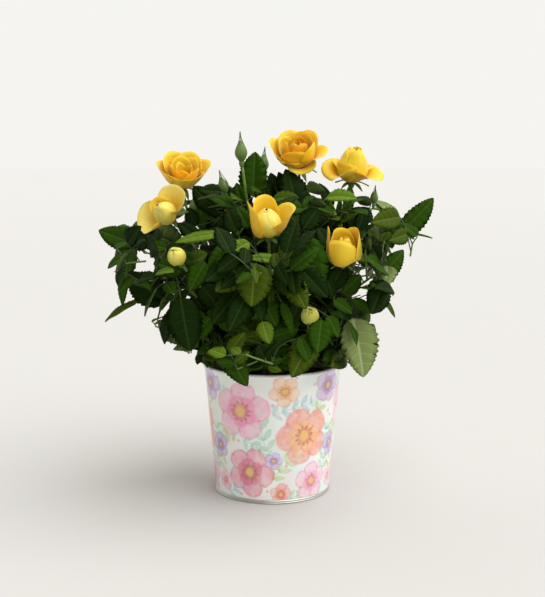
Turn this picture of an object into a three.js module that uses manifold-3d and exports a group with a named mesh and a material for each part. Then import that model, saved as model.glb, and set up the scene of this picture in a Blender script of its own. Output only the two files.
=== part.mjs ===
// A miniature rose bush in full bloom, standing in a tapered tinplate pot.
// Millimetres, +Z up. The origin is the centre of the pot's flat underside, +X is right and -Y is the front.
// From the peat a short base stem forks into canes. Each cane ends where it enters its own mass of leaves,
// and the roses and buds stand on stalks that leave the canes just under those masses.
import * as THREE from "three";
import { mergeVertices } from "three/addons/utils/BufferGeometryUtils.js";
import Module from "manifold-3d";

const wasm = await Module();
wasm.setup();

// ---------------------------------------------------------------- driving dimensions

const gap = 0.35; // clearance between pieces that touch

const pot = {
  height: 111, rimRadius: 60, footRadius: 48.5, // a 12 cm planter
  wall: 1.2, floor: 2, bead: 1.7, band: 3.4, bandStep: 0.7, segments: 32,
};
const peat = { top: 97, mound: 2.5, clear: 0.6, segments: 20 };
const baseStem = { foot: 11, waist: 8, crown: 5, height: 22, segments: 12 };
const cane = { footRadius: 2.1, tipRadius: 1.5, sides: 5, steps: 4 };
const stalk = { footRadius: 1.3, tipRadius: 1.1, sides: 4, steps: 4 };
const leadIn = 1.5; // straight start of a stem or stalk, square to what it springs from
const twig = { stemRadius: 1.4, tipRadius: 0.8, rachisRadius: 0.7, rachisFoot: 0.35, sides: 3 };

const leaflet = {
  length: 33, // of the end leaflet, and of the others by their share
  widthShare: 0.62, thickness: 1, fold: 0.08, droopTip: 0.06,
  root: 0.6, neck: 1.4, // how far its neck runs in and out, where it stands by itself
  seat: 2.4, // how much of a stalk's side it takes up
};
const spray = {
  rachis: 42, // stalk of a compound leaf, stem to end leaflet
  pairs: [{ at: 0.6, share: 0.86, spread: 60 }, { at: 0.2, share: 0.62, spread: 70 }],
};

// The crown reaches this far from its middle: an oval, squarer than an ellipsoid.
const crown = {
  middle: [-5, 0, 190], left: 138, right: 136, front: 118, back: 112, up: 92, down: 90, squareness: 2.3,
};

// Each ring holds masses of foliage spaced evenly round the plant, from a first bearing in degrees.
// A mass's stem reaches past the middle of its space, and bears that many leaves of its ring's scale.
const sixSides = ["front", "right_front", "right_back", "back", "left_back", "left_front"];
const threeSides = ["right", "back", "left"];
const rings = [
  { level: "low", sides: sixSides, first: -90, radius: [58, 56], height: 136, reach: 36,
    leaves: 10, scale: 0.88 },
  { level: "side", sides: sixSides, first: -90, radius: [95, 82], height: 193, reach: 34,
    leaves: 11, scale: 1 },
  { level: "upper", sides: threeSides, first: -30, radius: [38, 38], height: 240, reach: 36,
    leaves: 11, scale: 1 },
];

// Blooms and buds: where the head's middle is, the way it faces, and its size across.
const roseTable = {
  rose_top: { on: "upper_back", kind: "open", across: 47,
    at: [21, 25, 288], faces: [-0.12, -0.45, 0.9] },
  rose_right_back: { on: "side_right_back", kind: "loose", across: 44,
    at: [70, 35, 277], faces: [0.08, -0.25, 1] },
  rose_top_left: { on: "upper_left", kind: "open", across: 42,
    at: [-74, -5, 272], faces: [0.1, -0.45, 0.85] },
  rose_left: { on: "side_left_front", kind: "loose", across: 42,
    at: [-93, -30, 243], faces: [-0.7, -0.45, 0.6] },
  rose_front: { on: "side_front", kind: "half", across: 38,
    at: [-4, -58, 238], faces: [-0.05, -0.35, 0.93] },
  rose_right_front: { on: "side_right_front", kind: "cup", across: 31,
    at: [57, -62, 217], faces: [0.06, -0.25, 0.95] },
  rose_behind_left: { on: "side_left_back", kind: "open", across: 44,
    at: [-50, 84, 236], faces: [-0.3, 0.6, 0.75] },
  rose_behind_middle: { on: "side_back", kind: "half", across: 38,
    at: [8, 92, 246], faces: [0, 0.6, 0.8] },
  rose_behind_right: { on: "side_right_back", kind: "cup", across: 34,
    at: [74, 80, 220], faces: [0.4, 0.6, 0.7] },
  bud_left: { on: "side_left_front", kind: "bud", across: 12.5,
    at: [-76, -62, 208], faces: [-0.35, -0.55, 0.75] },
  bud_low_right: { on: "low_front", kind: "bud", across: 11.5,
    at: [29, -84, 164], faces: [0, -0.5, 0.85] },
  bud_top: { on: "upper_left", kind: "green", across: 11,
    at: [-26, -10, 290], faces: [-0.05, -0.05, 1] },
  bud_upper_left: { on: "upper_left", kind: "green", across: 9,
    at: [-41, -14, 262], faces: [-0.25, -0.1, 1] },
  bud_right: { on: "side_right_back", kind: "green", across: 7,
    at: [88, 28, 250], faces: [0.1, 0, 1] },
  bud_behind: { on: "upper_back", kind: "green", across: 10.5,
    at: [-8, 60, 278], faces: [0.1, 0.25, 1] },
};
const roses = Object.entries(roseTable).map(([name, rose]) => ({ name, ...rose }));

// Leaves that stand clear of the crown and give it its outline: where the leaf's stalk ends, and its
// leaflets, each by its tip and width. A leaflet springs from the stalk's end unless it says where,
// and faces the front.
const outerLeaves = [
  { joint: [-115, -10, 213], leaflets: [
    { tip: [-145, -12, 224], width: 21 }, { tip: [-130, -14, 161], width: 22 },
    { tip: [-128, 4, 231], width: 16, from: [-104, -6, 216] }] },
  { joint: [-88, -30, 166], leaflets: [
    { tip: [-119, -30, 191], width: 28 }, { tip: [-103, -34, 142], width: 18 }] },
  { joint: [-112, -14, 165], leaflets: [
    { tip: [-142, -14, 149], width: 12, faces: [0, -0.6, 0.8] }, { tip: [-116, -20, 137], width: 7 }] },
  { joint: [-40, -80, 142], leaflets: [
    { tip: [-55, -88, 108], width: 24 }, { tip: [-20, -90, 109], width: 22 }] },
  { joint: [-13, -95, 206], leaflets: [{ tip: [-16, -104, 174], width: 30 }] },
  { joint: [-18, -84, 221], leaflets: [{ tip: [-37, -92, 211], width: 15 }] },
  { joint: [32, -84, 149], leaflets: [
    { tip: [15, -94, 117], width: 25 }, { tip: [50, -84, 116], width: 19 }] },
  { joint: [64, -58, 158], leaflets: [{ tip: [74, -66, 111], width: 33 }] },
  { joint: [87, -14, 184], leaflets: [
    { tip: [90, -24, 157], width: 27 }, { tip: [111, -10, 207], width: 21 }] },
  { joint: [94, -10, 166], leaflets: [{ tip: [104, -8, 150], width: 6 }] },
  { joint: [108, 10, 220], leaflets: [
    { tip: [138, 10, 249], width: 22 }, { tip: [136, 6, 218], width: 8, faces: [0, -0.3, 0.95] },
    { tip: [92, 14, 241], width: 17 }] },
  { joint: [-14, 16, 248], leaflets: [{ tip: [-17, 18, 288], width: 25 }] },
  { joint: [22, 26, 234], leaflets: [{ tip: [8, 30, 272], width: 30 }] },
  { joint: [82, 22, 240], leaflets: [{ tip: [106, 18, 250], width: 17 }] },
  { joint: [-42, 2, 238], leaflets: [{ tip: [-63, -4, 262], width: 22 }] },
];

// ---------------------------------------------------------------- small helpers

const vec = (x, y, z) => new THREE.Vector3(x, y, z);
const up = vec(0, 0, 1);
const degrees = Math.PI / 180;
const goldenAngle = 137.5 * degrees;
const mix = (a, b, t) => a.clone().lerp(b, t);
const segments = (line) => line.slice(1).map((p, i) => [line[i], p]);
const along = (p, d, s) => p.clone().addScaledVector(d, s);

// The same draws on every run.
function seededRandom(seed) {
  let state = seed >>> 0;
  return () => {
    state = (state + 0x6d2b79f5) >>> 0;
    let t = Math.imul(state ^ (state >>> 15), state | 1);
    t ^= t + Math.imul(t ^ (t >>> 7), t | 61);
    return ((t ^ (t >>> 14)) >>> 0) / 4294967296;
  };
}

// What is left of a direction once its share along another is taken out, as a unit vector.
function squareTo(direction, axis) {
  return direction.clone().addScaledVector(axis, -direction.dot(axis)).normalize();
}

// Points on the cubic curve that leaves a along one vector and arrives at b along the other.
function bendPoints(a, leave, b, arrive, steps) {
  const curve = new THREE.CubicBezierCurve3(a, a.clone().add(leave), b.clone().sub(arrive), b);
  return curve.getPoints(steps);
}

function geometryOf(points, triangles) {
  const geometry = new THREE.BufferGeometry();
  geometry.setAttribute("position", new THREE.Float32BufferAttribute(points.flatMap((p) => p.toArray()), 3));
  geometry.setIndex(triangles.flat());
  return geometry;
}

// ---------------------------------------------------------------- solids

function solidOf(geometry) {
  return new wasm.Manifold(new wasm.Mesh({
    numProp: 3,
    vertProperties: new Float32Array(geometry.getAttribute("position").array),
    triVerts: new Uint32Array(geometry.index.array),
  }));
}

// One closed body from many that run into each other. A scrap that stays loose is dropped.
function fuse(geometries) {
  const bodies = wasm.Manifold.union(geometries.map(solidOf)).simplify(0.05).decompose();
  const largest = bodies.reduce((a, b) => (b.volume() > a.volume() ? b : a));
  const mesh = largest.getMesh();
  const positions = new Float32Array(mesh.numVert * 3);
  for (let i = 0; i < mesh.numVert; i++) {
    positions.set(mesh.vertProperties.subarray(i * mesh.numProp, i * mesh.numProp + 3), i * 3);
  }
  const geometry = new THREE.BufferGeometry();
  geometry.setAttribute("position", new THREE.BufferAttribute(positions, 3));
  geometry.setIndex(new THREE.BufferAttribute(new Uint32Array(mesh.triVerts), 1));
  return geometry;
}

// A profile of [radius, height] pairs, from the axis back to the axis, turned into a closed solid.
function turned(profile, segments) {
  const outline = profile.map(([radius, height]) => new THREE.Vector2(radius, height));
  const lathe = new THREE.LatheGeometry(outline, segments);
  lathe.deleteAttribute("normal");
  lathe.deleteAttribute("uv");
  return mergeVertices(lathe.rotateX(Math.PI / 2), 1e-3);
}

// A tapering tube with flat ends. Its rings are carried along the line without twist.
function tube(line, footRadius, tipRadius, sides) {
  const points = [];
  const triangles = [];
  let across = null;
  line.forEach((centre, k) => {
    const before = line[Math.max(0, k - 1)];
    const after = line[Math.min(line.length - 1, k + 1)];
    const tangent = after.clone().sub(before).normalize();
    across = squareTo(across ?? (Math.abs(tangent.z) > 0.9 ? vec(1, 0, 0) : up), tangent);
    const other = tangent.clone().cross(across);
    const radius = footRadius + ((tipRadius - footRadius) * k) / (line.length - 1);
    for (let i = 0; i < sides; i++) {
      const angle = (2 * Math.PI * i) / sides;
      const offset = across.clone().multiplyScalar(Math.cos(angle)).addScaledVector(other, Math.sin(angle));
      points.push(along(centre, offset, radius));
    }
  });
  const at = (k, i) => k * sides + (i % sides);
  for (let k = 0; k < line.length - 1; k++) {
    for (let i = 0; i < sides; i++) {
      triangles.push([at(k, i), at(k, i + 1), at(k + 1, i + 1)], [at(k, i), at(k + 1, i + 1), at(k + 1, i)]);
    }
  }
  for (let i = 1; i < sides - 1; i++) {
    triangles.push([at(0, 0), at(0, i + 1), at(0, i)]);
    triangles.push([at(line.length - 1, 0), at(line.length - 1, i), at(line.length - 1, i + 1)]);
  }
  return geometryOf(points, triangles);
}

// Adds a leaflet to a mesh of points and triangles. It closes an open triangle there, whose corners are
// its top, right and left. The leaflet's margin has five points, and it is folded up along the midrib.
function addLeaflet(points, triangles, [top, lowRight, lowLeft], { base, direction, face, length, width }) {
  const side = face.clone().cross(direction);
  const lift = leaflet.fold * width;
  const place = (x, y, z) => along(along(along(base, direction, x * length), side, (y * width) / 2), face, z);
  const left = points.length;
  points.push(
    place(0.3, 1, lift), place(0.68, 0.74, lift * 0.6), place(1, 0, -leaflet.droopTip * length),
    place(0.68, -0.74, lift * 0.6), place(0.3, -1, lift),
  );
  const [leftTip, tip, rightTip, right] = [left + 1, left + 2, left + 3, left + 4];
  triangles.push(
    [top, right, rightTip], [top, rightTip, tip], [top, tip, leftTip], [top, leftTip, left],
    [top, left, lowLeft], [top, lowRight, right],
    [lowLeft, left, leftTip], [lowLeft, leftTip, tip], [lowLeft, tip, lowRight],
    [lowRight, tip, rightTip], [lowRight, rightTip, right],
  );
}

// Points on a small triangle square to a direction, with one corner towards rise.
function triangleOf(centre, direction, rise, radius) {
  const upright = squareTo(rise, direction);
  const corner = (turn) => upright.clone().applyAxisAngle(direction, turn * degrees);
  return [0, 120, 240].map((turn) => along(centre, corner(turn), radius));
}

// A leaflet by itself, on a short three-sided neck that runs into what it springs from.
function leafletSolid(blade) {
  const ends = [-leaflet.root, leaflet.neck].map((at) => along(blade.base, blade.direction, at));
  const points = ends.flatMap((end) => triangleOf(end, blade.direction, blade.face, leaflet.thickness / 2));
  const triangles = [[0, 2, 1], [0, 1, 4], [0, 4, 3], [1, 2, 5], [1, 5, 4], [2, 0, 3], [2, 3, 5]];
  addLeaflet(points, triangles, [3, 4, 5], blade);
  return geometryOf(points, triangles);
}

// A compound leaf as one mesh: a three-sided stalk with a leaflet on its end, and others on its sides.
// Each of those closes one triangle of the short stretch of stalk that it sits on.
function compoundLeafSolid({ curve, face, blades }) {
  const half = leaflet.seat / 2 / curve.getLength();
  const seated = (hand, at) => blades.find((blade) => blade.hand === hand && blade.at === at);
  const pairs = spray.pairs.map((pair) => pair.at).filter((at) => seated("left", at) || seated("right", at));
  const stations = [0, ...pairs.sort((a, b) => a - b).flatMap((at) => [at - half, at + half])];
  if (seated("end", 1)) stations.push(1);
  const points = stations.flatMap((at) =>
    triangleOf(curve.getPoint(at), curve.getTangent(at), face, at ? twig.rachisRadius : twig.rachisFoot));
  const triangles = [[0, 2, 1]];
  const close = (corners, blade) => {
    if (blade) addLeaflet(points, triangles, corners, blade);
    else triangles.push(corners);
  };
  for (let k = 0; k < stations.length - 1; k++) {
    const [top, right, left, nextTop, nextRight, nextLeft] = [0, 1, 2, 3, 4, 5].map((i) => 3 * k + i);
    const pair = pairs.find((at) => at > stations[k] && at < stations[k + 1] && at - stations[k] < 2 * half);
    close([top, right, nextRight], seated("right", pair));
    close([nextTop, nextLeft, left], seated("left", pair));
    triangles.push([top, nextRight, nextTop], [right, left, nextLeft], [right, nextLeft, nextRight],
      [left, top, nextTop]);
  }
  const last = 3 * (stations.length - 1);
  close([last, last + 1, last + 2], seated("end", 1));
  return geometryOf(points, triangles);
}

// A closed petal on three rows of three points: sharp at its margin, and as thick as asked in the middle.
function lens(rows, thickness) {
  const [[a, b, c], [d, middle, e], [f, g, h]] = rows;
  const margin = [a, b, c, e, h, g, f, d];
  const outward = c.clone().sub(f).cross(h.clone().sub(a)).normalize();
  const points = [...margin, along(middle, outward, thickness / 2), along(middle, outward, -thickness / 2)];
  const triangles = margin.flatMap((_, i) => {
    const next = (i + 1) % margin.length;
    return [[i, next, 8], [next, i, 9]];
  });
  return geometryOf(points, triangles);
}

// ---------------------------------------------------------------- pot, peat and base stem

function potRadiusAt(height) {
  return pot.footRadius + ((pot.rimRadius - pot.bead - pot.footRadius) * height) / pot.height;
}

function potSolid() {
  const beadHeight = pot.height - pot.bead;
  const beadCentre = potRadiusAt(beadHeight) - pot.wall / 2;
  const bead = [-60, -10, 40, 90, 140, 190].map((turn) => [
    beadCentre + pot.bead * Math.cos(turn * degrees), beadHeight + pot.bead * Math.sin(turn * degrees)]);
  const profile = [
    [0, 0], [pot.footRadius, 0], [pot.footRadius + pot.bandStep, 0.7],
    [potRadiusAt(pot.band) + pot.bandStep, pot.band], [potRadiusAt(pot.band + 0.6), pot.band + 0.6],
    ...bead,
    [potRadiusAt(beadHeight - 2 * pot.bead) - pot.wall, beadHeight - 2 * pot.bead],
    [potRadiusAt(pot.floor) - pot.wall, pot.floor], [0, pot.floor],
  ];
  return turned(profile, pot.segments);
}

// Peat fills the pot to below its rim. Its top is a low mound with a flat middle under the base stem.
function peatSolid() {
  const inside = (height) => (potRadiusAt(height) - pot.wall) * Math.cos(Math.PI / pot.segments) - peat.clear;
  const bottom = pot.floor + gap;
  return turned([
    [0, bottom], [inside(bottom), bottom], [inside(peat.top), peat.top],
    [inside(peat.top) * 0.62, peat.top + peat.mound * 0.7], [baseStem.foot + 2, peat.top + peat.mound],
    [0, peat.top + peat.mound],
  ], peat.segments);
}

const stemFoot = peat.top + peat.mound + gap;

function baseStemSolid() {
  const { foot, waist, crown: top, height } = baseStem;
  return turned([
    [0, stemFoot], [foot, stemFoot], [waist, stemFoot + height * 0.28],
    [waist * 0.95, stemFoot + height * 0.7], [top, stemFoot + height], [0, stemFoot + height],
  ], baseStem.segments);
}

// ---------------------------------------------------------------- canes and stalks

// Every mass: the middle of its space, the bearing it lies on, and its cane.
function planMasses() {
  const masses = [];
  rings.forEach((ring, level) => ring.sides.forEach((sideName, i) => {
    const bearing = (ring.first + (360 / ring.sides.length) * i) * degrees;
    const outward = vec(Math.cos(bearing), Math.sin(bearing), 0);
    const site = vec(ring.radius[0] * outward.x, ring.radius[1] * outward.y, ring.height);
    masses.push({ name: `${ring.level}_${sideName}`, level, ring, outward, site, index: masses.length });
  }));
  for (const mass of masses) mass.cane = planCane(mass);
  return masses;
}

// A cane leaves the base stem, rises and leans out, and ends just inside the mass it carries.
function planCane(mass) {
  const rise = [30, 48, 66][mass.level] * degrees;
  const leave = mass.outward.clone().multiplyScalar(Math.cos(rise)).addScaledVector(up, Math.sin(rise));
  const height = stemFoot + baseStem.height * [0.26, 0.52, 0.8][mass.level];
  const clearOfStem = baseStem.waist + gap + cane.footRadius * Math.sin(rise);
  const foot = mass.outward.clone().multiplyScalar(clearOfStem).setZ(height);
  const tip = mix(foot, mass.site, [0.55, 0.66, 0.72][mass.level]);
  const reach = foot.distanceTo(tip);
  const arrive = mix(tip.clone().sub(foot).normalize(), up, 0.25).normalize();
  const pull = reach * 0.36;
  const line = bendPoints(foot, leave.multiplyScalar(pull), tip, arrive.multiplyScalar(pull), cane.steps);
  const end = line.at(-1).clone().sub(line.at(-2)).normalize();
  return { line, end, footRadius: cane.footRadius, tipRadius: cane.tipRadius };
}

// A rose's stalk leaves the side of its cane just under the mass, on the side nearest the rose.
function planStalk(rose, masses) {
  const carrier = masses.find((mass) => mass.name === rose.on).cane;
  const faces = vec(...rose.faces).normalize();
  const head = along(vec(...rose.at), faces, -headSize(rose).height * 0.5);
  const sharing = roses.filter((other) => other.on === rose.on).indexOf(rose);
  const joint = carrier.line.at(-2 - sharing);
  const shareAlong = 1 - (1 + sharing) / cane.steps;
  const caneRadius = cane.footRadius + (cane.tipRadius - cane.footRadius) * shareAlong;
  const axis = carrier.line.at(-1 - sharing).clone().sub(carrier.line.at(-3 - sharing)).normalize();
  const sideways = squareTo(head.clone().sub(joint), axis);
  const foot = along(joint, sideways, caneRadius * 0.94 + gap);
  const reach = foot.distanceTo(head);
  const pull = reach * 0.3;
  const line = bendPoints(along(foot, sideways, leadIn), mix(sideways, axis, 0.3).multiplyScalar(pull), head,
    faces.multiplyScalar(pull), stalk.steps);
  return { line: [foot, ...line], footRadius: stalk.footRadius, tipRadius: stalk.tipRadius };
}

// ---------------------------------------------------------------- roses

// How open each kind of head is. Sizes are shares of its width, and each row of petals ends at its own rim.
const kinds = {
  open: { height: 0.66, heart: 0.3, rows: [
    { count: 5, rim: 1, rise: 0.62, base: 0.1 }, { count: 3, rim: 0.62, rise: 0.95, base: 0 }] },
  loose: { height: 0.7, heart: 0.36, rows: [
    { count: 4, rim: 1, rise: 0.34, base: 0.1 }, { count: 2, rim: 0.6, rise: 0.8, base: 0 }] },
  half: { height: 0.86, heart: 0.5, rows: [{ count: 4, rim: 0.98, rise: 0.86, base: 0.05 }] },
  cup: { height: 1.02, heart: 0.62, rows: [{ count: 3, rim: 0.96, rise: 0.92, base: 0.02 }] },
  bud: { height: 1.15, heart: 1, rows: [] },
  green: { height: 1.5, heart: 1, rows: [] },
};
const petalThickness = 1.6;
const petalFoot = 1; // distance of a petal's foot from the middle of its head
const heartSides = 7;
const budSides = 10;

function headSize(rose) {
  return { height: rose.across * kinds[rose.kind].height, radius: rose.across / 2 };
}

// One petal is a patch of a cup: it leaves the receptacle, swells out and ends at its rim.
function petalSolid(radius, height, row, bearing, halfAngle) {
  const rows = [0, 0.55, 1].map((v) => [-1, 0, 1].map((u) => {
    const swell = Math.sin((v * Math.PI) / 2) ** 0.8;
    const spread = petalFoot + (radius * row.rim - petalFoot) * swell;
    const angle = bearing + u * halfAngle * (0.75 + 0.25 * Math.sin(Math.PI * v));
    const rise = height * (row.base * v + row.rise * v ** 1.5 * (1 - 0.12 * u * u * v));
    return vec(spread * Math.cos(angle), spread * Math.sin(angle), rise);
  }));
  return lens(rows, petalThickness);
}

// A green bud is wrapped in five sepals: every second point near its top is the tip of one, and stands out.
function wrapped(body, height) {
  const place = body.getAttribute("position");
  for (let i = 0; i < place.count; i++) {
    const [x, y, z] = [place.getX(i), place.getY(i), place.getZ(i)];
    const turn = Math.round((Math.atan2(y, x) / (2 * Math.PI)) * budSides + budSides);
    if (z > height * 0.8 && z < height * 0.99 && turn % 2) place.setZ(i, z + height * 0.4);
  }
  return body;
}

// A head in its own frame: receptacle at the origin, opening along +Z.
function headParts(rose) {
  const kind = kinds[rose.kind];
  const { height, radius } = headSize(rose);
  const heart = radius * kind.heart;
  const calyx = Math.min(2.6, radius * 0.55);
  const profile = [
    [0, -3], [calyx, -0.5], [heart, height * 0.42], [heart * 0.62, height * 0.88], [0, height],
  ];
  const green = rose.kind === "green";
  const parts = [green ? wrapped(turned(profile, budSides), height) : turned(profile, heartSides)];
  kind.rows.forEach((row, index) => {
    for (let i = 0; i < row.count; i++) {
      const bearing = ((i + 0.5 * index) * 2 * Math.PI) / row.count + 0.4;
      parts.push(petalSolid(radius, height, row, bearing, (Math.PI / row.count) * 0.92));
    }
  });
  return parts;
}

function roseSolid(rose) {
  const { line, footRadius, tipRadius } = rose.stalk;
  const axis = vec(...rose.faces).normalize();
  const turn = new THREE.Quaternion().setFromUnitVectors(up, axis);
  const head = headParts(rose).map((part) => part.applyQuaternion(turn).translate(...line.at(-1).toArray()));
  return fuse([tube(line, footRadius, tipRadius, stalk.sides), ...head]);
}

// ---------------------------------------------------------------- foliage

const beadSpacing = 3;

// Beads along every cane and stalk, and two on each head, that foliage has to stay clear of.
function obstacleBeads(masses) {
  const beads = [];
  const string = ({ line, footRadius, tipRadius }) => {
    const curve = new THREE.CatmullRomCurve3(line);
    const count = Math.ceil(curve.getLength() / beadSpacing);
    for (let i = 0; i <= count; i++) {
      const radius = footRadius + ((tipRadius - footRadius) * i) / count;
      beads.push({ at: curve.getPointAt(i / count), radius });
    }
  };
  masses.forEach((mass) => string(mass.cane));
  for (const rose of roses) {
    const { height, radius } = headSize(rose);
    const middle = vec(...rose.at);
    string(rose.stalk);
    beads.push({ at: middle, radius: radius + 1 });
    beads.push({ at: along(middle, vec(...rose.faces).normalize(), height * 0.5), radius: radius * 0.6 });
  }
  return beads;
}

// True where a point is nearer its own mass's middle than any other's, with room to spare.
function inOwnSpace(point, mass, masses) {
  return masses.every((other) => {
    if (other === mass) return true;
    const between = mix(mass.site, other.site, 0.5);
    const toOther = other.site.clone().sub(mass.site).normalize();
    return point.clone().sub(between).dot(toOther) < -gap / 2;
  });
}

function inCrown(point) {
  const [x, y, z] = point.clone().sub(vec(...crown.middle)).toArray();
  const share = [
    x / (x < 0 ? crown.left : crown.right),
    y / (y < 0 ? crown.front : crown.back),
    z / (z < 0 ? crown.down : crown.up),
  ];
  return share.reduce((sum, s) => sum + Math.abs(s) ** crown.squareness, 0) < 1;
}

function clearOfPot(point) {
  return point.z > pot.height + 2.5 || Math.hypot(point.x, point.y) > pot.rimRadius + 3;
}

// A leaflet as a flat oval: how far a point is off it, and where it lies on it, 1 at its edge.
// The edge is moved out by the room asked for.
function ovalOf(blade, room) {
  const side = blade.face.clone().cross(blade.direction);
  const middle = along(blade.base, blade.direction, blade.length * 0.5);
  const off = (point) => point.clone().sub(middle).dot(blade.face);
  const inside = (point) => {
    const offset = point.clone().sub(middle);
    const lengthways = offset.dot(blade.direction) / (blade.length / 2 + room);
    return lengthways ** 2 + (offset.dot(side) / (blade.width / 2 + room)) ** 2 < 1;
  };
  return { off, inside };
}

// A leaflet's margin from its base round by the left.
function marginOf({ base, direction, face, length, width }) {
  const side = face.clone().cross(direction);
  const place = (x, y) => along(along(base, direction, x * length), side, (y * width) / 2);
  return [base, place(0.3, 1), place(0.68, 0.74), place(1, 0), place(0.68, -0.74), place(0.3, -1)];
}

function leafletTouches(blade, beads) {
  return beads.some(({ at, radius }) => {
    const { off, inside } = ovalOf(blade, radius + 1.2);
    return Math.abs(off(at)) < radius + 1.2 + blade.width * leaflet.fold && inside(at);
  });
}

// The lines that stand for a leaflet when it is tested against another: its margin, midrib and width.
function leafletLines(blade) {
  const margin = marginOf(blade);
  return [...segments([...margin, margin[0]]), [margin[0], margin[3]], [margin[1], margin[5]]];
}

// True where a line runs through a leaflet, or lies against it.
function lineCuts([a, b], blade) {
  const { off, inside } = ovalOf(blade, 0);
  const [start, end] = [off(a), off(b)];
  if (start * end <= 0) return inside(mix(a, b, start / (start - end || 1)));
  const nearer = Math.abs(end) < Math.abs(start) ? b : a;
  return Math.min(Math.abs(start), Math.abs(end)) <= leaflet.thickness && inside(nearer);
}

function leafletCrosses(blade, others) {
  const lines = leafletLines(blade);
  return others.some((other) => blade.base.distanceTo(other.base) < blade.length + other.length &&
    (lines.some((line) => lineCuts(line, other)) ||
      leafletLines(other).some((line) => lineCuts(line, blade))));
}

function leafletFits(blade, mass, plant) {
  const margin = marginOf(blade);
  const droop = along(margin[3], blade.face, -leaflet.droopTip * blade.length);
  const lifted = [margin[1], margin[5]].map((point) => along(point, blade.face, leaflet.fold * blade.width));
  return [...margin, droop, ...lifted].every((point) => inOwnSpace(point, mass, plant.masses) &&
    clearOfPot(point)) && !leafletTouches(blade, plant.beads);
}

function twigFits(line, mass, plant) {
  const samples = line.flatMap((p, i) => (i ? [mix(line[i - 1], p, 0.5), p] : [p]));
  return samples.every((p) => inOwnSpace(p, mass, plant.masses) && clearOfPot(p) &&
    plant.beads.every(({ at, radius }) => at.distanceTo(p) > radius + twig.stemRadius + 1.4));
}

// A compound leaf: a stalk that arches over, an end leaflet and pairs that hang from it.
function compoundLeaf(start, heading, outward, hang, roll, size) {
  const reach = spray.rachis * size;
  const crest = along(start, heading, reach * 0.55);
  const end = along(along(start, heading, reach * 0.92), up, -hang * reach * 0.3);
  const curve = new THREE.QuadraticBezierCurve3(start, crest, end);
  const face = squareTo(mix(outward, up, 0.45), heading).applyAxisAngle(heading, roll);
  const blade = (hand, at, turn, share, extraHang) => {
    const tangent = curve.getTangent(at);
    const direction = tangent.clone().applyAxisAngle(squareTo(face, tangent), turn);
    direction.addScaledVector(up, -hang * extraHang).normalize();
    const length = leaflet.length * share * size;
    const width = length * leaflet.widthShare;
    return { hand, at, base: curve.getPoint(at), direction, face: squareTo(face, direction), length, width };
  };
  const blades = [blade("end", 1, 0, 1, 0.75)];
  for (const { at, share, spread } of spray.pairs) {
    blades.push(blade("left", at, spread * degrees, share, 0.55));
    blades.push(blade("right", at, -spread * degrees, share, 0.55));
  }
  return { curve, face, line: curve.getPoints(2), blades };
}

// Where leaves stand on a stem: a share of its length and a turn round it, each a golden angle past the last.
function phyllotaxis(line, count, first, draw) {
  const curve = new THREE.CatmullRomCurve3(line);
  const places = [];
  for (let k = 0; k < count; k++) {
    const at = first + ((1 - first) * k) / Math.max(1, count - 1);
    const tangent = curve.getTangentAt(at);
    const zero = squareTo(Math.abs(tangent.z) > 0.9 ? vec(1, 0, 0) : up, tangent);
    const turn = k * goldenAngle + (draw() - 0.5) * 0.8;
    places.push({ at, point: curve.getPointAt(at), tangent, radial: zero.applyAxisAngle(tangent, turn), k });
  }
  return places;
}

const hub = vec(0, 0, 150); // leaves turn outward from here

// Hang of a leaf by its height: upright at the top of the crown, drooping half way down, less over the pot.
const hang = { none: 262, most: 178, least: 118, atLeast: 0.12, atMost: 0.95, overPot: 0.45 };

function hangAt(height) {
  const { smoothstep, lerp } = THREE.MathUtils;
  const upper = lerp(hang.atMost, hang.atLeast, smoothstep(height, hang.most, hang.none));
  return Math.min(upper, lerp(hang.overPot, hang.atMost, smoothstep(height, hang.least, hang.most)));
}

// A leaf turns aside, if it has to, to find room. True if it found some for two leaflets or more.
function growLeaf(place, mass, plant, draw, found, stems) {
  const outward = place.point.clone().sub(hub).normalize();
  const tilt = draw();
  const roll = (draw() - 0.5) * 0.9;
  const size = mass.ring.scale * (0.82 + 0.36 * draw());
  const sideways = mix(place.radial, outward, 0.42 + 0.2 * tilt);
  const grown = found.flatMap((other) => other.blades);
  const stalks = [...stems, ...found.map((other) => other.line)].flatMap(segments);
  for (const turn of [0, 40, -40, 80, -80]) {
    const heading = sideways.clone().applyAxisAngle(place.tangent, turn * degrees);
    heading.addScaledVector(up, 0.22 + 0.2 * tilt).normalize();
    const leaf = compoundLeaf(place.point, heading, outward, hangAt(place.point.z), roll, size);
    if (!twigFits(leaf.line.slice(1), mass, plant)) continue;
    if (segments(leaf.line).some((part) => grown.some((blade) => lineCuts(part, blade)))) continue;
    const blades = [];
    for (const blade of leaf.blades) {
      if (inCrown(along(blade.base, blade.direction, blade.length)) && leafletFits(blade, mass, plant) &&
        !leafletCrosses(blade, [...grown, ...blades]) && !stalks.some((part) => lineCuts(part, blade))) {
        blades.push(blade);
      }
    }
    if (blades.length >= 2) {
      found.push({ ...leaf, blades });
      return true;
    }
  }
  return false;
}

// The leaves named above: a stalk from the mass's stem to the joint, and the leaflets that fit its space.
const outerLeavesAt = 0.55; // share of the stem's length

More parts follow.
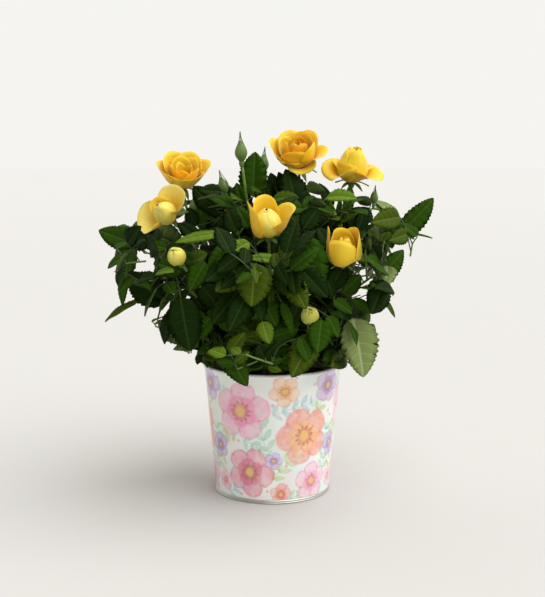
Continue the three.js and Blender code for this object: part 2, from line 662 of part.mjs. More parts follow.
function growOuterLeaves(mass, plant, stemLine, found) {
  for (const { joint, leaflets } of outerLeaves) {
    const end = vec(...joint);
    const owner = plant.masses.reduce((a, b) => (b.site.distanceTo(end) < a.site.distanceTo(end) ? b : a));
    if (owner !== mass) continue;
    const start = new THREE.CatmullRomCurve3(stemLine).getPointAt(outerLeavesAt);
    const arrive = mix(end.clone().sub(start), vec(0, 0, -1), 0.1).multiplyScalar(0.3);
    const line = bendPoints(start, vec(0, 0, 8), end, arrive, 3);
    const blades = leaflets.map(({ tip, width, from, faces }) => {
      const base = from ? vec(...from) : end;
      const direction = vec(...tip).sub(base);
      const length = direction.length();
      direction.normalize();
      return { base, direction, face: squareTo(vec(...(faces ?? [0, -1, 0.25])), direction), length, width };
    }).filter((blade) => leafletFits(blade, mass, plant));
    if (blades.length) found.push({ line, blades });
  }
}

// A line as far as a share of its length.
function cutOff(line, share) {
  const curve = new THREE.CatmullRomCurve3(line);
  const end = Math.min(1, share);
  const kept = [line[0]];
  let length = 0;
  for (const [before, point] of segments(line)) {
    length += before.distanceTo(point);
    if (length > curve.getLength() * end - leadIn) break;
    kept.push(point);
  }
  return [...kept, curve.getPointAt(end)];
}

// A side twig with three leaves on it, or nothing where it has no room.
function growTwig(place, outward, mass, plant, draw, leaves, stems) {
  const heading = mix(place.radial, outward, 0.4).addScaledVector(up, 0.25).normalize();
  const length = 30 + 14 * draw();
  const end = along(place.point, heading, length);
  const line = bendPoints(place.point, heading.clone().multiplyScalar(length * 0.3), end,
    mix(heading, up, 0.2).multiplyScalar(length * 0.3), 2);
  if (!twigFits(line.slice(1), mass, plant)) return null;
  const places = phyllotaxis(line, 3, 0.5, draw);
  const grown = places.filter((spot) => growLeaf(spot, mass, plant, draw, leaves, [...stems, line]));
  return grown.length ? cutOff(line, grown.at(-1).at + 0.03) : null;
}

// Everything in a mass: its stem, which carries on from the cane, the side twigs and the leaves.
function planMass(mass, plant) {
  const draw = seededRandom(7301 + 97 * mass.index);
  const start = along(mass.cane.line.at(-1), mass.cane.end, gap);
  const outward = mass.site.clone().sub(hub).normalize();
  const tip = along(mass.site, outward, mass.ring.reach);
  const reach = start.distanceTo(tip);
  const stemLine = [start, ...bendPoints(along(start, mass.cane.end, leadIn),
    mass.cane.end.clone().multiplyScalar(reach * 0.33), tip, outward.clone().multiplyScalar(reach * 0.3), 4)];
  const leaves = [];
  const twigs = [];
  growOuterLeaves(mass, plant, stemLine, leaves);
  let last = leaves.length ? outerLeavesAt : 0;
  for (const place of phyllotaxis(stemLine, mass.ring.leaves, 0.16, draw)) {
    if (growLeaf(place, mass, plant, draw, leaves, [stemLine, ...twigs])) last = place.at;
    if (place.k % 2 === 0) continue;
    const side = growTwig(place, outward, mass, plant, draw, leaves, [stemLine, ...twigs]);
    if (!side) continue;
    twigs.push(side);
    last = place.at;
  }
  return { stemLine: cutOff(stemLine, last + 0.03), twigs, leaves };
}

function massSolid(plan) {
  return fuse([
    tube(plan.stemLine, twig.stemRadius, twig.tipRadius, 4),
    ...plan.twigs.map((line) => tube(line, twig.tipRadius, twig.tipRadius, twig.sides)),
    ...plan.leaves.flatMap((leaf) => (leaf.curve ? [compoundLeafSolid(leaf)] : [
      tube(leaf.line, twig.rachisFoot, twig.rachisRadius, twig.sides), ...leaf.blades.map(leafletSolid)])),
  ]);
}

// ---------------------------------------------------------------- assembly

const finishes = {
  tinplate: { color: 0xf1f3ef, roughness: 0.35, metalness: 0.2 },
  peat: { color: 0x2b2019, roughness: 0.95, metalness: 0 },
  bark: { color: 0x6b6a3c, roughness: 0.7, metalness: 0 },
  foliage: { color: 0x2f4d1f, roughness: 0.5, metalness: 0 },
  petals: { color: 0xf4cf2e, roughness: 0.55, metalness: 0 },
  calyx: { color: 0x7f9a45, roughness: 0.55, metalness: 0 },
};
const materials = {};
for (const [name, finish] of Object.entries(finishes)) {
  materials[name] = new THREE.MeshStandardMaterial({ name, ...finish });
}

const masses = planMasses();
for (const rose of roses) rose.stalk = planStalk(rose, masses);
const plant = { masses, beads: obstacleBeads(masses) };

const group = new THREE.Group();
group.name = "potted_rose";

function addPiece(name, geometry, finish) {
  geometry.computeVertexNormals();
  const mesh = new THREE.Mesh(geometry, materials[finish]);
  mesh.name = name;
  group.add(mesh);
}

addPiece("pot", potSolid(), "tinplate");
addPiece("peat", peatSolid(), "peat");
addPiece("base_stem", baseStemSolid(), "bark");
for (const mass of masses) {
  addPiece(`cane_${mass.name}`, tube(mass.cane.line, cane.footRadius, cane.tipRadius, cane.sides), "bark");
  addPiece(`foliage_${mass.name}`, massSolid(planMass(mass, plant)), "foliage");
}
for (const rose of roses) {
  addPiece(rose.name, roseSolid(rose), rose.kind === "green" ? "calyx" : "petals");
}

export default group;
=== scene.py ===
import math

import bpy
import numpy as np
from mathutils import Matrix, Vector, noise


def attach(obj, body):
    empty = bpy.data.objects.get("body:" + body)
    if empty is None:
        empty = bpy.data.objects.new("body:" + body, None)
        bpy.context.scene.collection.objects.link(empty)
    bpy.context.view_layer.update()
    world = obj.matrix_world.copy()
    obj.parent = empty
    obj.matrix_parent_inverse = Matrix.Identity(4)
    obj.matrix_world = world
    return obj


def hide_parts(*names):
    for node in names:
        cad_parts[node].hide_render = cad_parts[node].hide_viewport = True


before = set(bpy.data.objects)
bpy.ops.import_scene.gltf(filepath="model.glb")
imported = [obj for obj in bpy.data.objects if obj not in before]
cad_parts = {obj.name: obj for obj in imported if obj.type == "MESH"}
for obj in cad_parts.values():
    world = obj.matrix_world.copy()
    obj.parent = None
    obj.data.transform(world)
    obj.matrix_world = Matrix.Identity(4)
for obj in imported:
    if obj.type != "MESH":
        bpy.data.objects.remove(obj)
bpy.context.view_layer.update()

mm = 0.001  # everything below is worked out in millimetres and turned to metres as it becomes a mesh
degrees = math.pi / 180
goldenAngle = 137.5 * degrees
aboutOneTurn = 6.28  # for bearings drawn at random
up = np.array([0.0, 0.0, 1.0])

# Camera
view = {
    "imageSize": (545, 597), "focalPixels": 1154, "sensor": 36,
    "place": (0, -970, 305), "down": 8.2,  # mm, and degrees below level
}
camera = bpy.data.cameras.new("studio_camera")
camera.sensor_width = view["sensor"]
camera.lens = view["focalPixels"] * view["sensor"] / max(view["imageSize"])
cameraObject = bpy.data.objects.new("studio_camera", camera)
cameraObject.location = [mm * part for part in view["place"]]
cameraObject.rotation_euler = ((90 - view["down"]) * degrees, 0, 0)
bpy.context.scene.collection.objects.link(cameraObject)
bpy.context.scene.camera = cameraObject
print("camera set")


# Materials

def linear(hexColour):
    channels = [int(hexColour[i:i + 2], 16) / 255 for i in (1, 3, 5)]
    return [c / 12.92 if c <= 0.04045 else ((c + 0.055) / 1.055) ** 2.4 for c in channels] + [1]


def perMetre(size):
    return 1 / (size * mm)  # texture scale for a pattern of that size in mm


def newMaterial(name, colour, roughness, plain=None):
    material = bpy.data.materials.new(name)
    material.use_nodes = True
    shader = material.node_tree.nodes["Principled BSDF"]
    shader.inputs["Base Color"].default_value = linear(colour)
    shader.inputs["Roughness"].default_value = roughness
    for socket, value in (plain or {}).items():
        shader.inputs[socket].default_value = value
    material.diffuse_color = linear(colour)
    return material


def addNode(material, kind, inputs=None, **settings):
    node = material.node_tree.nodes.new("ShaderNode" + kind)
    for name, value in settings.items():
        setattr(node, name, value)
    for socket, value in (inputs or {}).items():
        if isinstance(value, bpy.types.NodeSocket):
            material.node_tree.links.new(value, node.inputs[socket])
        else:
            node.inputs[socket].default_value = value
    return node


def setStops(ramp, stops):
    stops = list(stops)
    elements = ramp.color_ramp.elements
    while len(elements) < len(stops):
        elements.new(1)
    for element, (position, colour) in zip(elements, stops):
        element.position = position
        element.color = linear(colour)
    return ramp.outputs["Color"]


def linkTo(material, socket, output):
    shader = material.node_tree.nodes["Principled BSDF"]
    material.node_tree.links.new(output, shader.inputs[socket])


def maths(material, operation, *inputs):
    return addNode(material, "Math", dict(enumerate(inputs)), operation=operation).outputs[0]


def ranged(material, value, low, high, least=0, most=1, **settings):
    return addNode(material, "MapRange", {0: value, 1: low, 2: high, 3: least, 4: most}, **settings).outputs[0]


def softRanged(material, value, low, high, least=0, most=1):
    return ranged(material, value, low, high, least, most, interpolation_type="SMOOTHSTEP")


def solidPlace(material):
    return addNode(material, "TexCoord").outputs["Object"]


def addNoise(material, place, size, detail=2):
    return addNode(material, "TexNoise", {"Vector": place, "Scale": perMetre(size), "Detail": detail})


def addRelief(material, height, strength, depth):
    bump = addNode(material, "Bump", {"Height": height, "Strength": strength, "Distance": depth * mm})
    linkTo(material, "Normal", bump.outputs["Normal"])


# Living leaf: a waxy cuticle over green flesh. The wax gives a soft sheen, the net of small veins breaks it up.
leafFinish = {
    "roughness": 0.5, "undersideRoughness": 0.7, "specular": 0.05,
    "cell": 1.5, "cellEdge": 0.25, "grain": 0.35, "grainShare": 0.3,  # vein net and leather grain, mm across
    "relief": 0.12, "reliefStrength": 0.6,  # mm
    "blades": {"deep": "#132702", "mid": "#294704", "olive": "#3d500c", "fresh": "#5c7a1f", "pale": "#7a8b50"},
    "veins": {"deep": "#263a12", "mid": "#3e5a1b", "olive": "#576923", "fresh": "#7e963f", "pale": "#99a67a"},
    "underside": "#4f6334",
}


def leafMaterial(name, colour, roughness=leafFinish["roughness"]):
    material = newMaterial(name, colour, roughness, {"Specular IOR Level": leafFinish["specular"]})
    place = solidPlace(material)
    net = addNode(material, "TexVoronoi", {"Vector": place, "Scale": perMetre(leafFinish["cell"])},
                  feature="DISTANCE_TO_EDGE")
    grain = addNoise(material, place, leafFinish["grain"])
    netHeight = ranged(material, net.outputs["Distance"], 0, leafFinish["cellEdge"])
    height = maths(material, "MULTIPLY_ADD", grain.outputs["Fac"], leafFinish["grainShare"], netHeight)
    addRelief(material, height, leafFinish["reliefStrength"], leafFinish["relief"])
    return material


tints = list(leafFinish["blades"])
leafMaterials = [leafMaterial("waxy_leaf_" + tint, leafFinish["blades"][tint]) for tint in tints]
leafMaterials += [leafMaterial("leaf_vein_" + tint, leafFinish["veins"][tint]) for tint in tints]
leafMaterials.append(leafMaterial("matt_leaf_underside", leafFinish["underside"], leafFinish["undersideRoughness"]))
veinOf = {tint: len(tints) + index for index, tint in enumerate(tints)}
underside = 2 * len(tints)

# Living petal: thin moist flesh with fine ribs along it. Light goes a little way in, so its shadows stay warm.
petalFinish = {
    "roughness": 0.5, "specular": 0.3, "sheen": 0.15, "glow": 0.25, "glowReach": 1.2,  # mm that light goes in
    "ribs": (26, 2.2, 1), "ribShare": 0.35,  # across and along a petal, and how far they shift its colours
    "relief": 0.05, "reliefStrength": 0.5,  # mm
    "stops": (0.1, 0.55, 1.0),
    "tints": {  # from the foot of a petal to its rim
        "heart": ["#c97c00", "#de9a04", "#e8ab0c"], "golden": ["#d08e02", "#e4ab0a", "#ecbc18"],
        "lemon": ["#d8a408", "#e8be16", "#efcc30"], "pale": ["#dab420", "#e8cb44", "#efda6c"],
        "budding": ["#a9b23a", "#d8c648", "#e6d664"], "greening": ["#7f8f2c", "#a0a83c", "#bcbc52"],
    },
}


def petalMaterial(tint):
    colours = petalFinish["tints"][tint]
    material = newMaterial("rose_petal_" + tint, colours[1], petalFinish["roughness"], {
        "Subsurface Weight": petalFinish["glow"], "Subsurface Scale": petalFinish["glowReach"] * mm,
        "Sheen Weight": petalFinish["sheen"], "Specular IOR Level": petalFinish["specular"]})
    along = addNode(material, "UVMap", uv_map="petal").outputs["UV"]
    across = addNode(material, "Mapping", {"Vector": along, "Scale": petalFinish["ribs"]})
    streak = addNode(material, "TexNoise", {"Vector": across.outputs[0], "Scale": 1.0, "Detail": 3}).outputs["Fac"]
    share = addNode(material, "SeparateXYZ", {0: along})
    uneven = maths(material, "MULTIPLY_ADD", streak, petalFinish["ribShare"], share.outputs["Y"])
    ramp = addNode(material, "ValToRGB", {0: uneven})
    linkTo(material, "Base Color", setStops(ramp, zip(petalFinish["stops"], colours)))
    addRelief(material, streak, petalFinish["reliefStrength"], petalFinish["relief"])
    return material


petalTints = list(petalFinish["tints"])
roseMaterials = [petalMaterial(tint) for tint in petalTints]

# Green skin of stalk, hip and sepal: smooth young skin with a dull sheen and fine lengthways grain.
stalkFinish = {"stalk": "#6b8638", "sepal": "#587431", "young": "#37491f", "roughness": 0.5, "sepalRoughness": 0.55,
               "grain": 0.5, "relief": 0.08, "reliefStrength": 0.6}


def skinMaterial(name, colour, roughness=stalkFinish["roughness"]):
    material = newMaterial(name, colour, roughness)
    grain = addNoise(material, solidPlace(material), stalkFinish["grain"], 3)
    addRelief(material, grain.outputs["Fac"], stalkFinish["reliefStrength"], stalkFinish["relief"])
    return material


stalkMaterial = skinMaterial("green_stalk_skin", stalkFinish["stalk"])
sepalMaterial = skinMaterial("green_sepal_skin", stalkFinish["sepal"], stalkFinish["sepalRoughness"])
roseMaterials += [stalkMaterial, sepalMaterial]
stalkFinishIndex, sepalFinishIndex = len(petalTints), len(petalTints) + 1

# Bark: grey-brown cork at the foot over green skin, cracked lengthways. The cracks give short dark lines.
barkFinish = {
    "cork": ("#33281b", "#5b4a33", "#7c6a4a"), "skin": ("#3d4a22", "#566531", "#70793f"),  # dark, middle, light
    "roughness": 0.75, "stops": (0.36, 0.5, 0.66), "stretch": (1, 1, 0.25),
    "crack": 2.2, "relief": 0.5, "reliefStrength": 0.8,  # mm
    "prickle": "#7d4a34", "prickleRoughness": 0.4,
}


def barkMaterial(name, colours):
    material = newMaterial(name, colours[1], barkFinish["roughness"])
    stretched = addNode(material, "Mapping", {"Vector": solidPlace(material), "Scale": barkFinish["stretch"]})
    cracks = addNoise(material, stretched.outputs[0], barkFinish["crack"], 5).outputs["Fac"]
    ramp = addNode(material, "ValToRGB", {0: cracks})
    linkTo(material, "Base Color", setStops(ramp, zip(barkFinish["stops"], colours)))
    addRelief(material, cracks, barkFinish["reliefStrength"], barkFinish["relief"])
    return material


barkMaterials = [
    barkMaterial("cracked_cork_bark", barkFinish["cork"]),
    barkMaterial("green_cane_bark", barkFinish["skin"]),
    newMaterial("prickle_horn", barkFinish["prickle"], barkFinish["prickleRoughness"]),  # redder than the cane
]


# Meshes

class Shape:
    # Gathers the points and faces of many forms for one mesh. A face's finish is its place in the material list.
    def __init__(self):
        self.points, self.loops, self.sizes, self.finishes, self.places = [], [], [], [], []
        self.count = 0

    def add(self, points, *groups, places=None):
        points = np.asarray(points, float).reshape(-1, 3)
        for faces, finish in groups:
            faces = np.asarray(faces, np.int64)
            self.loops.append((faces + self.count).ravel())
            self.sizes.append(np.full(len(faces), faces.shape[1]))
            self.finishes.append(np.broadcast_to(finish, (len(faces),)))
            if places is not None:
                self.places.append(np.asarray(places)[faces.ravel()])
        self.points.append(points)
        self.count += len(points)


def makePiece(name, shape, materials, replaced, mapName=None):
    mesh = bpy.data.meshes.new(name)
    points = np.concatenate(shape.points) * mm
    loops, sizes = np.concatenate(shape.loops), np.concatenate(shape.sizes)
    mesh.vertices.add(len(points))
    mesh.vertices.foreach_set("co", points.astype(np.float32).ravel())
    mesh.loops.add(len(loops))
    mesh.loops.foreach_set("vertex_index", loops.astype(np.int32))
    mesh.polygons.add(len(sizes))
    mesh.polygons.foreach_set("loop_start", np.concatenate([[0], np.cumsum(sizes)[:-1]]).astype(np.int32))
    mesh.polygons.foreach_set("material_index", np.concatenate(shape.finishes).astype(np.int32))
    mesh.polygons.foreach_set("use_smooth", np.full(len(sizes), True))
    for material in materials:
        mesh.materials.append(material)
    mesh.update(calc_edges=True)
    if mapName:
        uvMap = mesh.uv_layers.new(name=mapName)
        uvMap.data.foreach_set("uv", np.concatenate(shape.places).astype(np.float32).ravel())
    mesh.validate()
    piece = bpy.data.objects.new(name, mesh)
    bpy.context.scene.collection.objects.link(piece)
    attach(piece, "root")
    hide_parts(*replaced)
    print(name, int((sizes - 2).sum()), "triangles")


def unit(v):
    return v / np.linalg.norm(v)


def squareTo(direction, axis):
    return unit(direction - axis * np.dot(direction, axis))


def turned(v, axis, angle):
    return v * math.cos(angle) + np.cross(axis, v) * math.sin(angle) + axis * np.dot(axis, v) * (1 - math.cos(angle))


def mix(a, b, t):
    return a + (b - a) * t


def smoothStep(x, low, high):
    t = np.clip((x - low) / (high - low), 0, 1)
    return t * t * (3 - 2 * t)


# Points on the cubic curve that leaves a along one vector and arrives at b along the other.
def bendPoints(a, leave, b, arrive, steps):
    t = np.linspace(0, 1, steps + 1)[:, None]
    return (a * (1 - t) ** 3 + (a + leave) * 3 * t * (1 - t) ** 2 + (b - arrive) * 3 * t ** 2 * (1 - t) + b * t ** 3)


# A centripetal Catmull-Rom curve through points, measured along its length.
class Spline:
    def __init__(self, points):
        points = np.array(points, float)
        self.points = np.vstack([2 * points[0] - points[1], points, 2 * points[-1] - points[-2]])
        self.pieces = len(points) - 1
        self.steps = np.linspace(0, 1, 201)
        lengths = np.linalg.norm(np.diff(self.at(self.steps), axis=0), axis=1)
        self.lengths = np.concatenate([[0], np.cumsum(lengths)])
        self.length = self.lengths[-1]

    def at(self, t):
        t = np.atleast_1d(t) * self.pieces
        index = np.minimum(np.floor(t).astype(int), self.pieces - 1)
        w = (t - index)[:, None]
        p0, p1, p2, p3 = (self.points[index + k] for k in range(4))
        d0, d1, d2 = (np.sqrt(np.linalg.norm(b - a, axis=1))[:, None] for a, b in ((p0, p1), (p1, p2), (p2, p3)))
        t1 = ((p1 - p0) / d0 - (p2 - p0) / (d0 + d1) + (p2 - p1) / d1) * d1
        t2 = ((p2 - p1) / d1 - (p3 - p1) / (d1 + d2) + (p3 - p2) / d2) * d1
        return (p1 + t1 * w + (-3 * p1 + 3 * p2 - 2 * t1 - t2) * w ** 2 + (2 * p1 - 2 * p2 + t1 + t2) * w ** 3)

    def step(self, share):
        return float(np.interp(share * self.length, self.lengths, self.steps))

    def along(self, share):
        return self.at(self.step(share))[0]

    def tangent(self, share):
        t = self.step(share)
        return unit(self.at(min(1, t + 1e-4))[0] - self.at(max(0, t - 1e-4))[0])

    def sampled(self, count):
        return self.at(np.interp(np.linspace(0, self.length, count), self.lengths, self.steps))


def ringAngles(sides, shift=0):
    return (np.arange(sides) + shift) * 2 * math.pi / sides


# Faces between rings of points, and the fans that close the first and the last ring on the two points after them.
def ringFaces(count, sides):
    k, i = np.meshgrid(np.arange(count - 1), np.arange(sides), indexing="ij")
    j = (i + 1) % sides
    walls = np.stack([k * sides + i, k * sides + j, (k + 1) * sides + j, (k + 1) * sides + i], -1).reshape(-1, 4)
    ring, last, foot = np.arange(sides), (count - 1) * sides, count * sides
    after = (ring + 1) % sides
    ends = np.vstack([np.stack([np.full(sides, foot), after, ring], 1),
                      np.stack([np.full(sides, foot + 1), last + ring, last + after], 1)])
    return walls, ends


# Rings of points round a line, carried along it without twist, and the faces between them with both ends closed.
def tube(line, radii, sides, finish=0):
    line = np.asarray(line)
    count = len(line)
    tangents = np.gradient(line, axis=0)
    tangents /= np.linalg.norm(tangents, axis=1)[:, None]
    angles = ringAngles(sides)
    across = up if abs(tangents[0][2]) < 0.9 else np.array([1.0, 0, 0])
    rings = []
    for centre, tangent, radius in zip(line, tangents, np.broadcast_to(radii, (count,))):
        across = squareTo(across, tangent)
        other = np.cross(tangent, across)
        rings.append(centre + radius * (np.outer(np.cos(angles), across) + np.outer(np.sin(angles), other)))
    walls, ends = ringFaces(count, sides)
    return np.vstack([*rings, line[:1], line[-1:]]), (walls, finish), (ends, finish)


seeds = {"mass": 7301, "fine": 5200, "inner": 9100, "leaf": 880, "innerLeaf": 3300, "cane": 4100, "head": 600,
         "crumb": 31}


# The same draws on every run.
def seededRandom(seed):
    state = seed & 0xFFFFFFFF

    def draw():
        nonlocal state
        state = (state + 0x6D2B79F5) & 0xFFFFFFFF
        t = ((state ^ (state >> 15)) * (state | 1)) & 0xFFFFFFFF
        t ^= (t + (((t ^ (t >> 7)) * (t | 61)) & 0xFFFFFFFF)) & 0xFFFFFFFF
        return ((t ^ (t >> 14)) & 0xFFFFFFFF) / 4294967296

    return draw


# Growth: the same sizes and rule as the solids, in millimetres
gap = 0.35
pot = {"height": 111, "rimRadius": 60, "footRadius": 48.5, "wall": 1.2, "floor": 2, "bead": 1.7}
peat = {"top": 97, "mound": 2.5, "clear": 0.6}
baseStem = {"foot": 11, "waist": 8, "height": 22}
cane = {"footRadius": 2.1, "tipRadius": 1.5, "steps": 4}
stalk = {"footRadius": 1.3, "tipRadius": 1.1, "steps": 4}
leadIn = 1.5
twig = {"stemRadius": 1.4, "tipRadius": 0.8, "fineTip": 0.65, "rachisRadius": 0.55, "rachisTip": 0.42,
        "length": (30, 14)}  # a side twig's least length, and the most that a draw adds
leaflet = {"length": 33, "widthShare": 0.68, "thickness": 1, "fold": 0.08, "droopTip": 0.06}
spray = {"rachis": 42, "pairs": [(0.6, 0.86, 60), (0.2, 0.62, 70)]}  # place on the stalk, size, spread
crown = {"middle": np.array([-5, 0, 190]), "least": (138, 118, 90), "most": (136, 112, 92), "squareness": 2.3}
sixSides = ["front", "right_front", "right_back", "back", "left_back", "left_front"]
threeSides = ["right", "back", "left"]
# rise, footAt and reaches say how steeply a cane leaves the base stem, how high on it and how far out it goes.
rings = [
    {"level": "low", "sides": sixSides, "first": -90, "radius": (58, 56), "height": 136, "reach": 36, "leaves": 10,
     "scale": 0.88, "rise": 30, "footAt": 0.26, "reaches": 0.55},
    {"level": "side", "sides": sixSides, "first": -90, "radius": (95, 82), "height": 193, "reach": 34, "leaves": 11,
     "scale": 1, "rise": 48, "footAt": 0.52, "reaches": 0.66},
    {"level": "upper", "sides": threeSides, "first": -30, "radius": (38, 38), "height": 240, "reach": 36,
     "leaves": 11, "scale": 1, "rise": 66, "footAt": 0.8, "reaches": 0.72},
]
hub = np.array([0.0, 0, 150])
stemFoot = peat["top"] + peat["mound"] + gap

# Heads of flowers: the cane each springs from, its kind, its size across, where its middle is and how it faces
roseTable = {
    "rose_top": ("upper_back", "open", 47, (21, 25, 288), (-0.12, -0.45, 0.9)),
    "rose_right_back": ("side_right_back", "loose", 44, (70, 35, 277), (0.08, -0.25, 1)),
    "rose_top_left": ("upper_left", "open", 42, (-74, -5, 272), (0.1, -0.45, 0.85)),
    "rose_left": ("side_left_front", "loose", 42, (-93, -30, 243), (-0.7, -0.45, 0.6)),
    "rose_front": ("side_front", "half", 38, (-4, -58, 238), (-0.05, -0.35, 0.93)),
    "rose_right_front": ("side_right_front", "cup", 31, (57, -62, 217), (0.06, -0.25, 0.95)),
    "rose_behind_left": ("side_left_back", "open", 44, (-50, 84, 236), (-0.3, 0.6, 0.75)),
    "rose_behind_middle": ("side_back", "half", 38, (8, 92, 246), (0, 0.6, 0.8)),
    "rose_behind_right": ("side_right_back", "cup", 34, (74, 80, 220), (0.4, 0.6, 0.7)),
    "bud_left": ("side_left_front", "bud", 12.5, (-76, -62, 208), (-0.35, -0.55, 0.75)),
    "bud_low_right": ("low_front", "bud", 11.5, (29, -84, 164), (0, -0.5, 0.85)),
    "bud_top": ("upper_left", "green", 11, (-26, -10, 290), (-0.05, -0.05, 1)),
    "bud_upper_left": ("upper_left", "green", 9, (-41, -14, 262), (-0.25, -0.1, 1)),
    "bud_right": ("side_right_back", "green", 7, (88, 28, 250), (0.1, 0, 1)),
    "bud_behind": ("upper_back", "green", 10.5, (-8, 60, 278), (0.1, 0.25, 1)),
}
headHeights = {"open": 0.66, "loose": 0.7, "half": 0.86, "cup": 1.02, "bud": 1.15, "green": 1.5}  # of the width
roses = [{"name": name, "on": on, "kind": kind, "across": across, "at": np.array(at, float),
          "faces": unit(np.array(faces, float)), "height": across * headHeights[kind], "radius": across / 2}
         for name, (on, kind, across, at, faces) in roseTable.items()]

# Leaves that stand clear of the crown: where the stalk ends, and each leaflet's tip and width
outerLeaves = [
    ((-115, -10, 213), [((-145, -12, 224), 21), ((-130, -14, 161), 22), ((-128, 4, 231), 16, (-104, -6, 216))],
     "mid"),
    ((-88, -30, 166), [((-119, -30, 191), 28), ((-103, -34, 142), 18)], "deep"),
    ((-112, -14, 165), [((-142, -14, 149), 12, None, (0, -0.6, 0.8)), ((-116, -20, 137), 7)], "olive"),
    ((-40, -80, 142), [((-55, -88, 108), 24), ((-20, -90, 109), 22)], "mid"),
    ((-13, -95, 206), [((-16, -104, 174), 30)]),
    ((-18, -84, 221), [((-37, -92, 211), 15)]),
    ((32, -84, 149), [((15, -94, 117), 25), ((50, -84, 116), 19)]),
    ((64, -58, 158), [((74, -66, 111), 35)], "pale"),
    ((87, -14, 184), [((90, -24, 157), 27), ((111, -10, 207), 21)]),
    ((94, -10, 166), [((104, -8, 150), 6)]),
    ((108, 10, 220), [((138, 10, 249), 22), ((136, 6, 218), 8, None, (0, -0.3, 0.95)), ((92, 14, 241), 17)],
     "mid"),
    ((82, 22, 240), [((106, 18, 250), 17)], "deep"),
    ((-42, 2, 238), [((-63, -4, 262), 22)]),
]


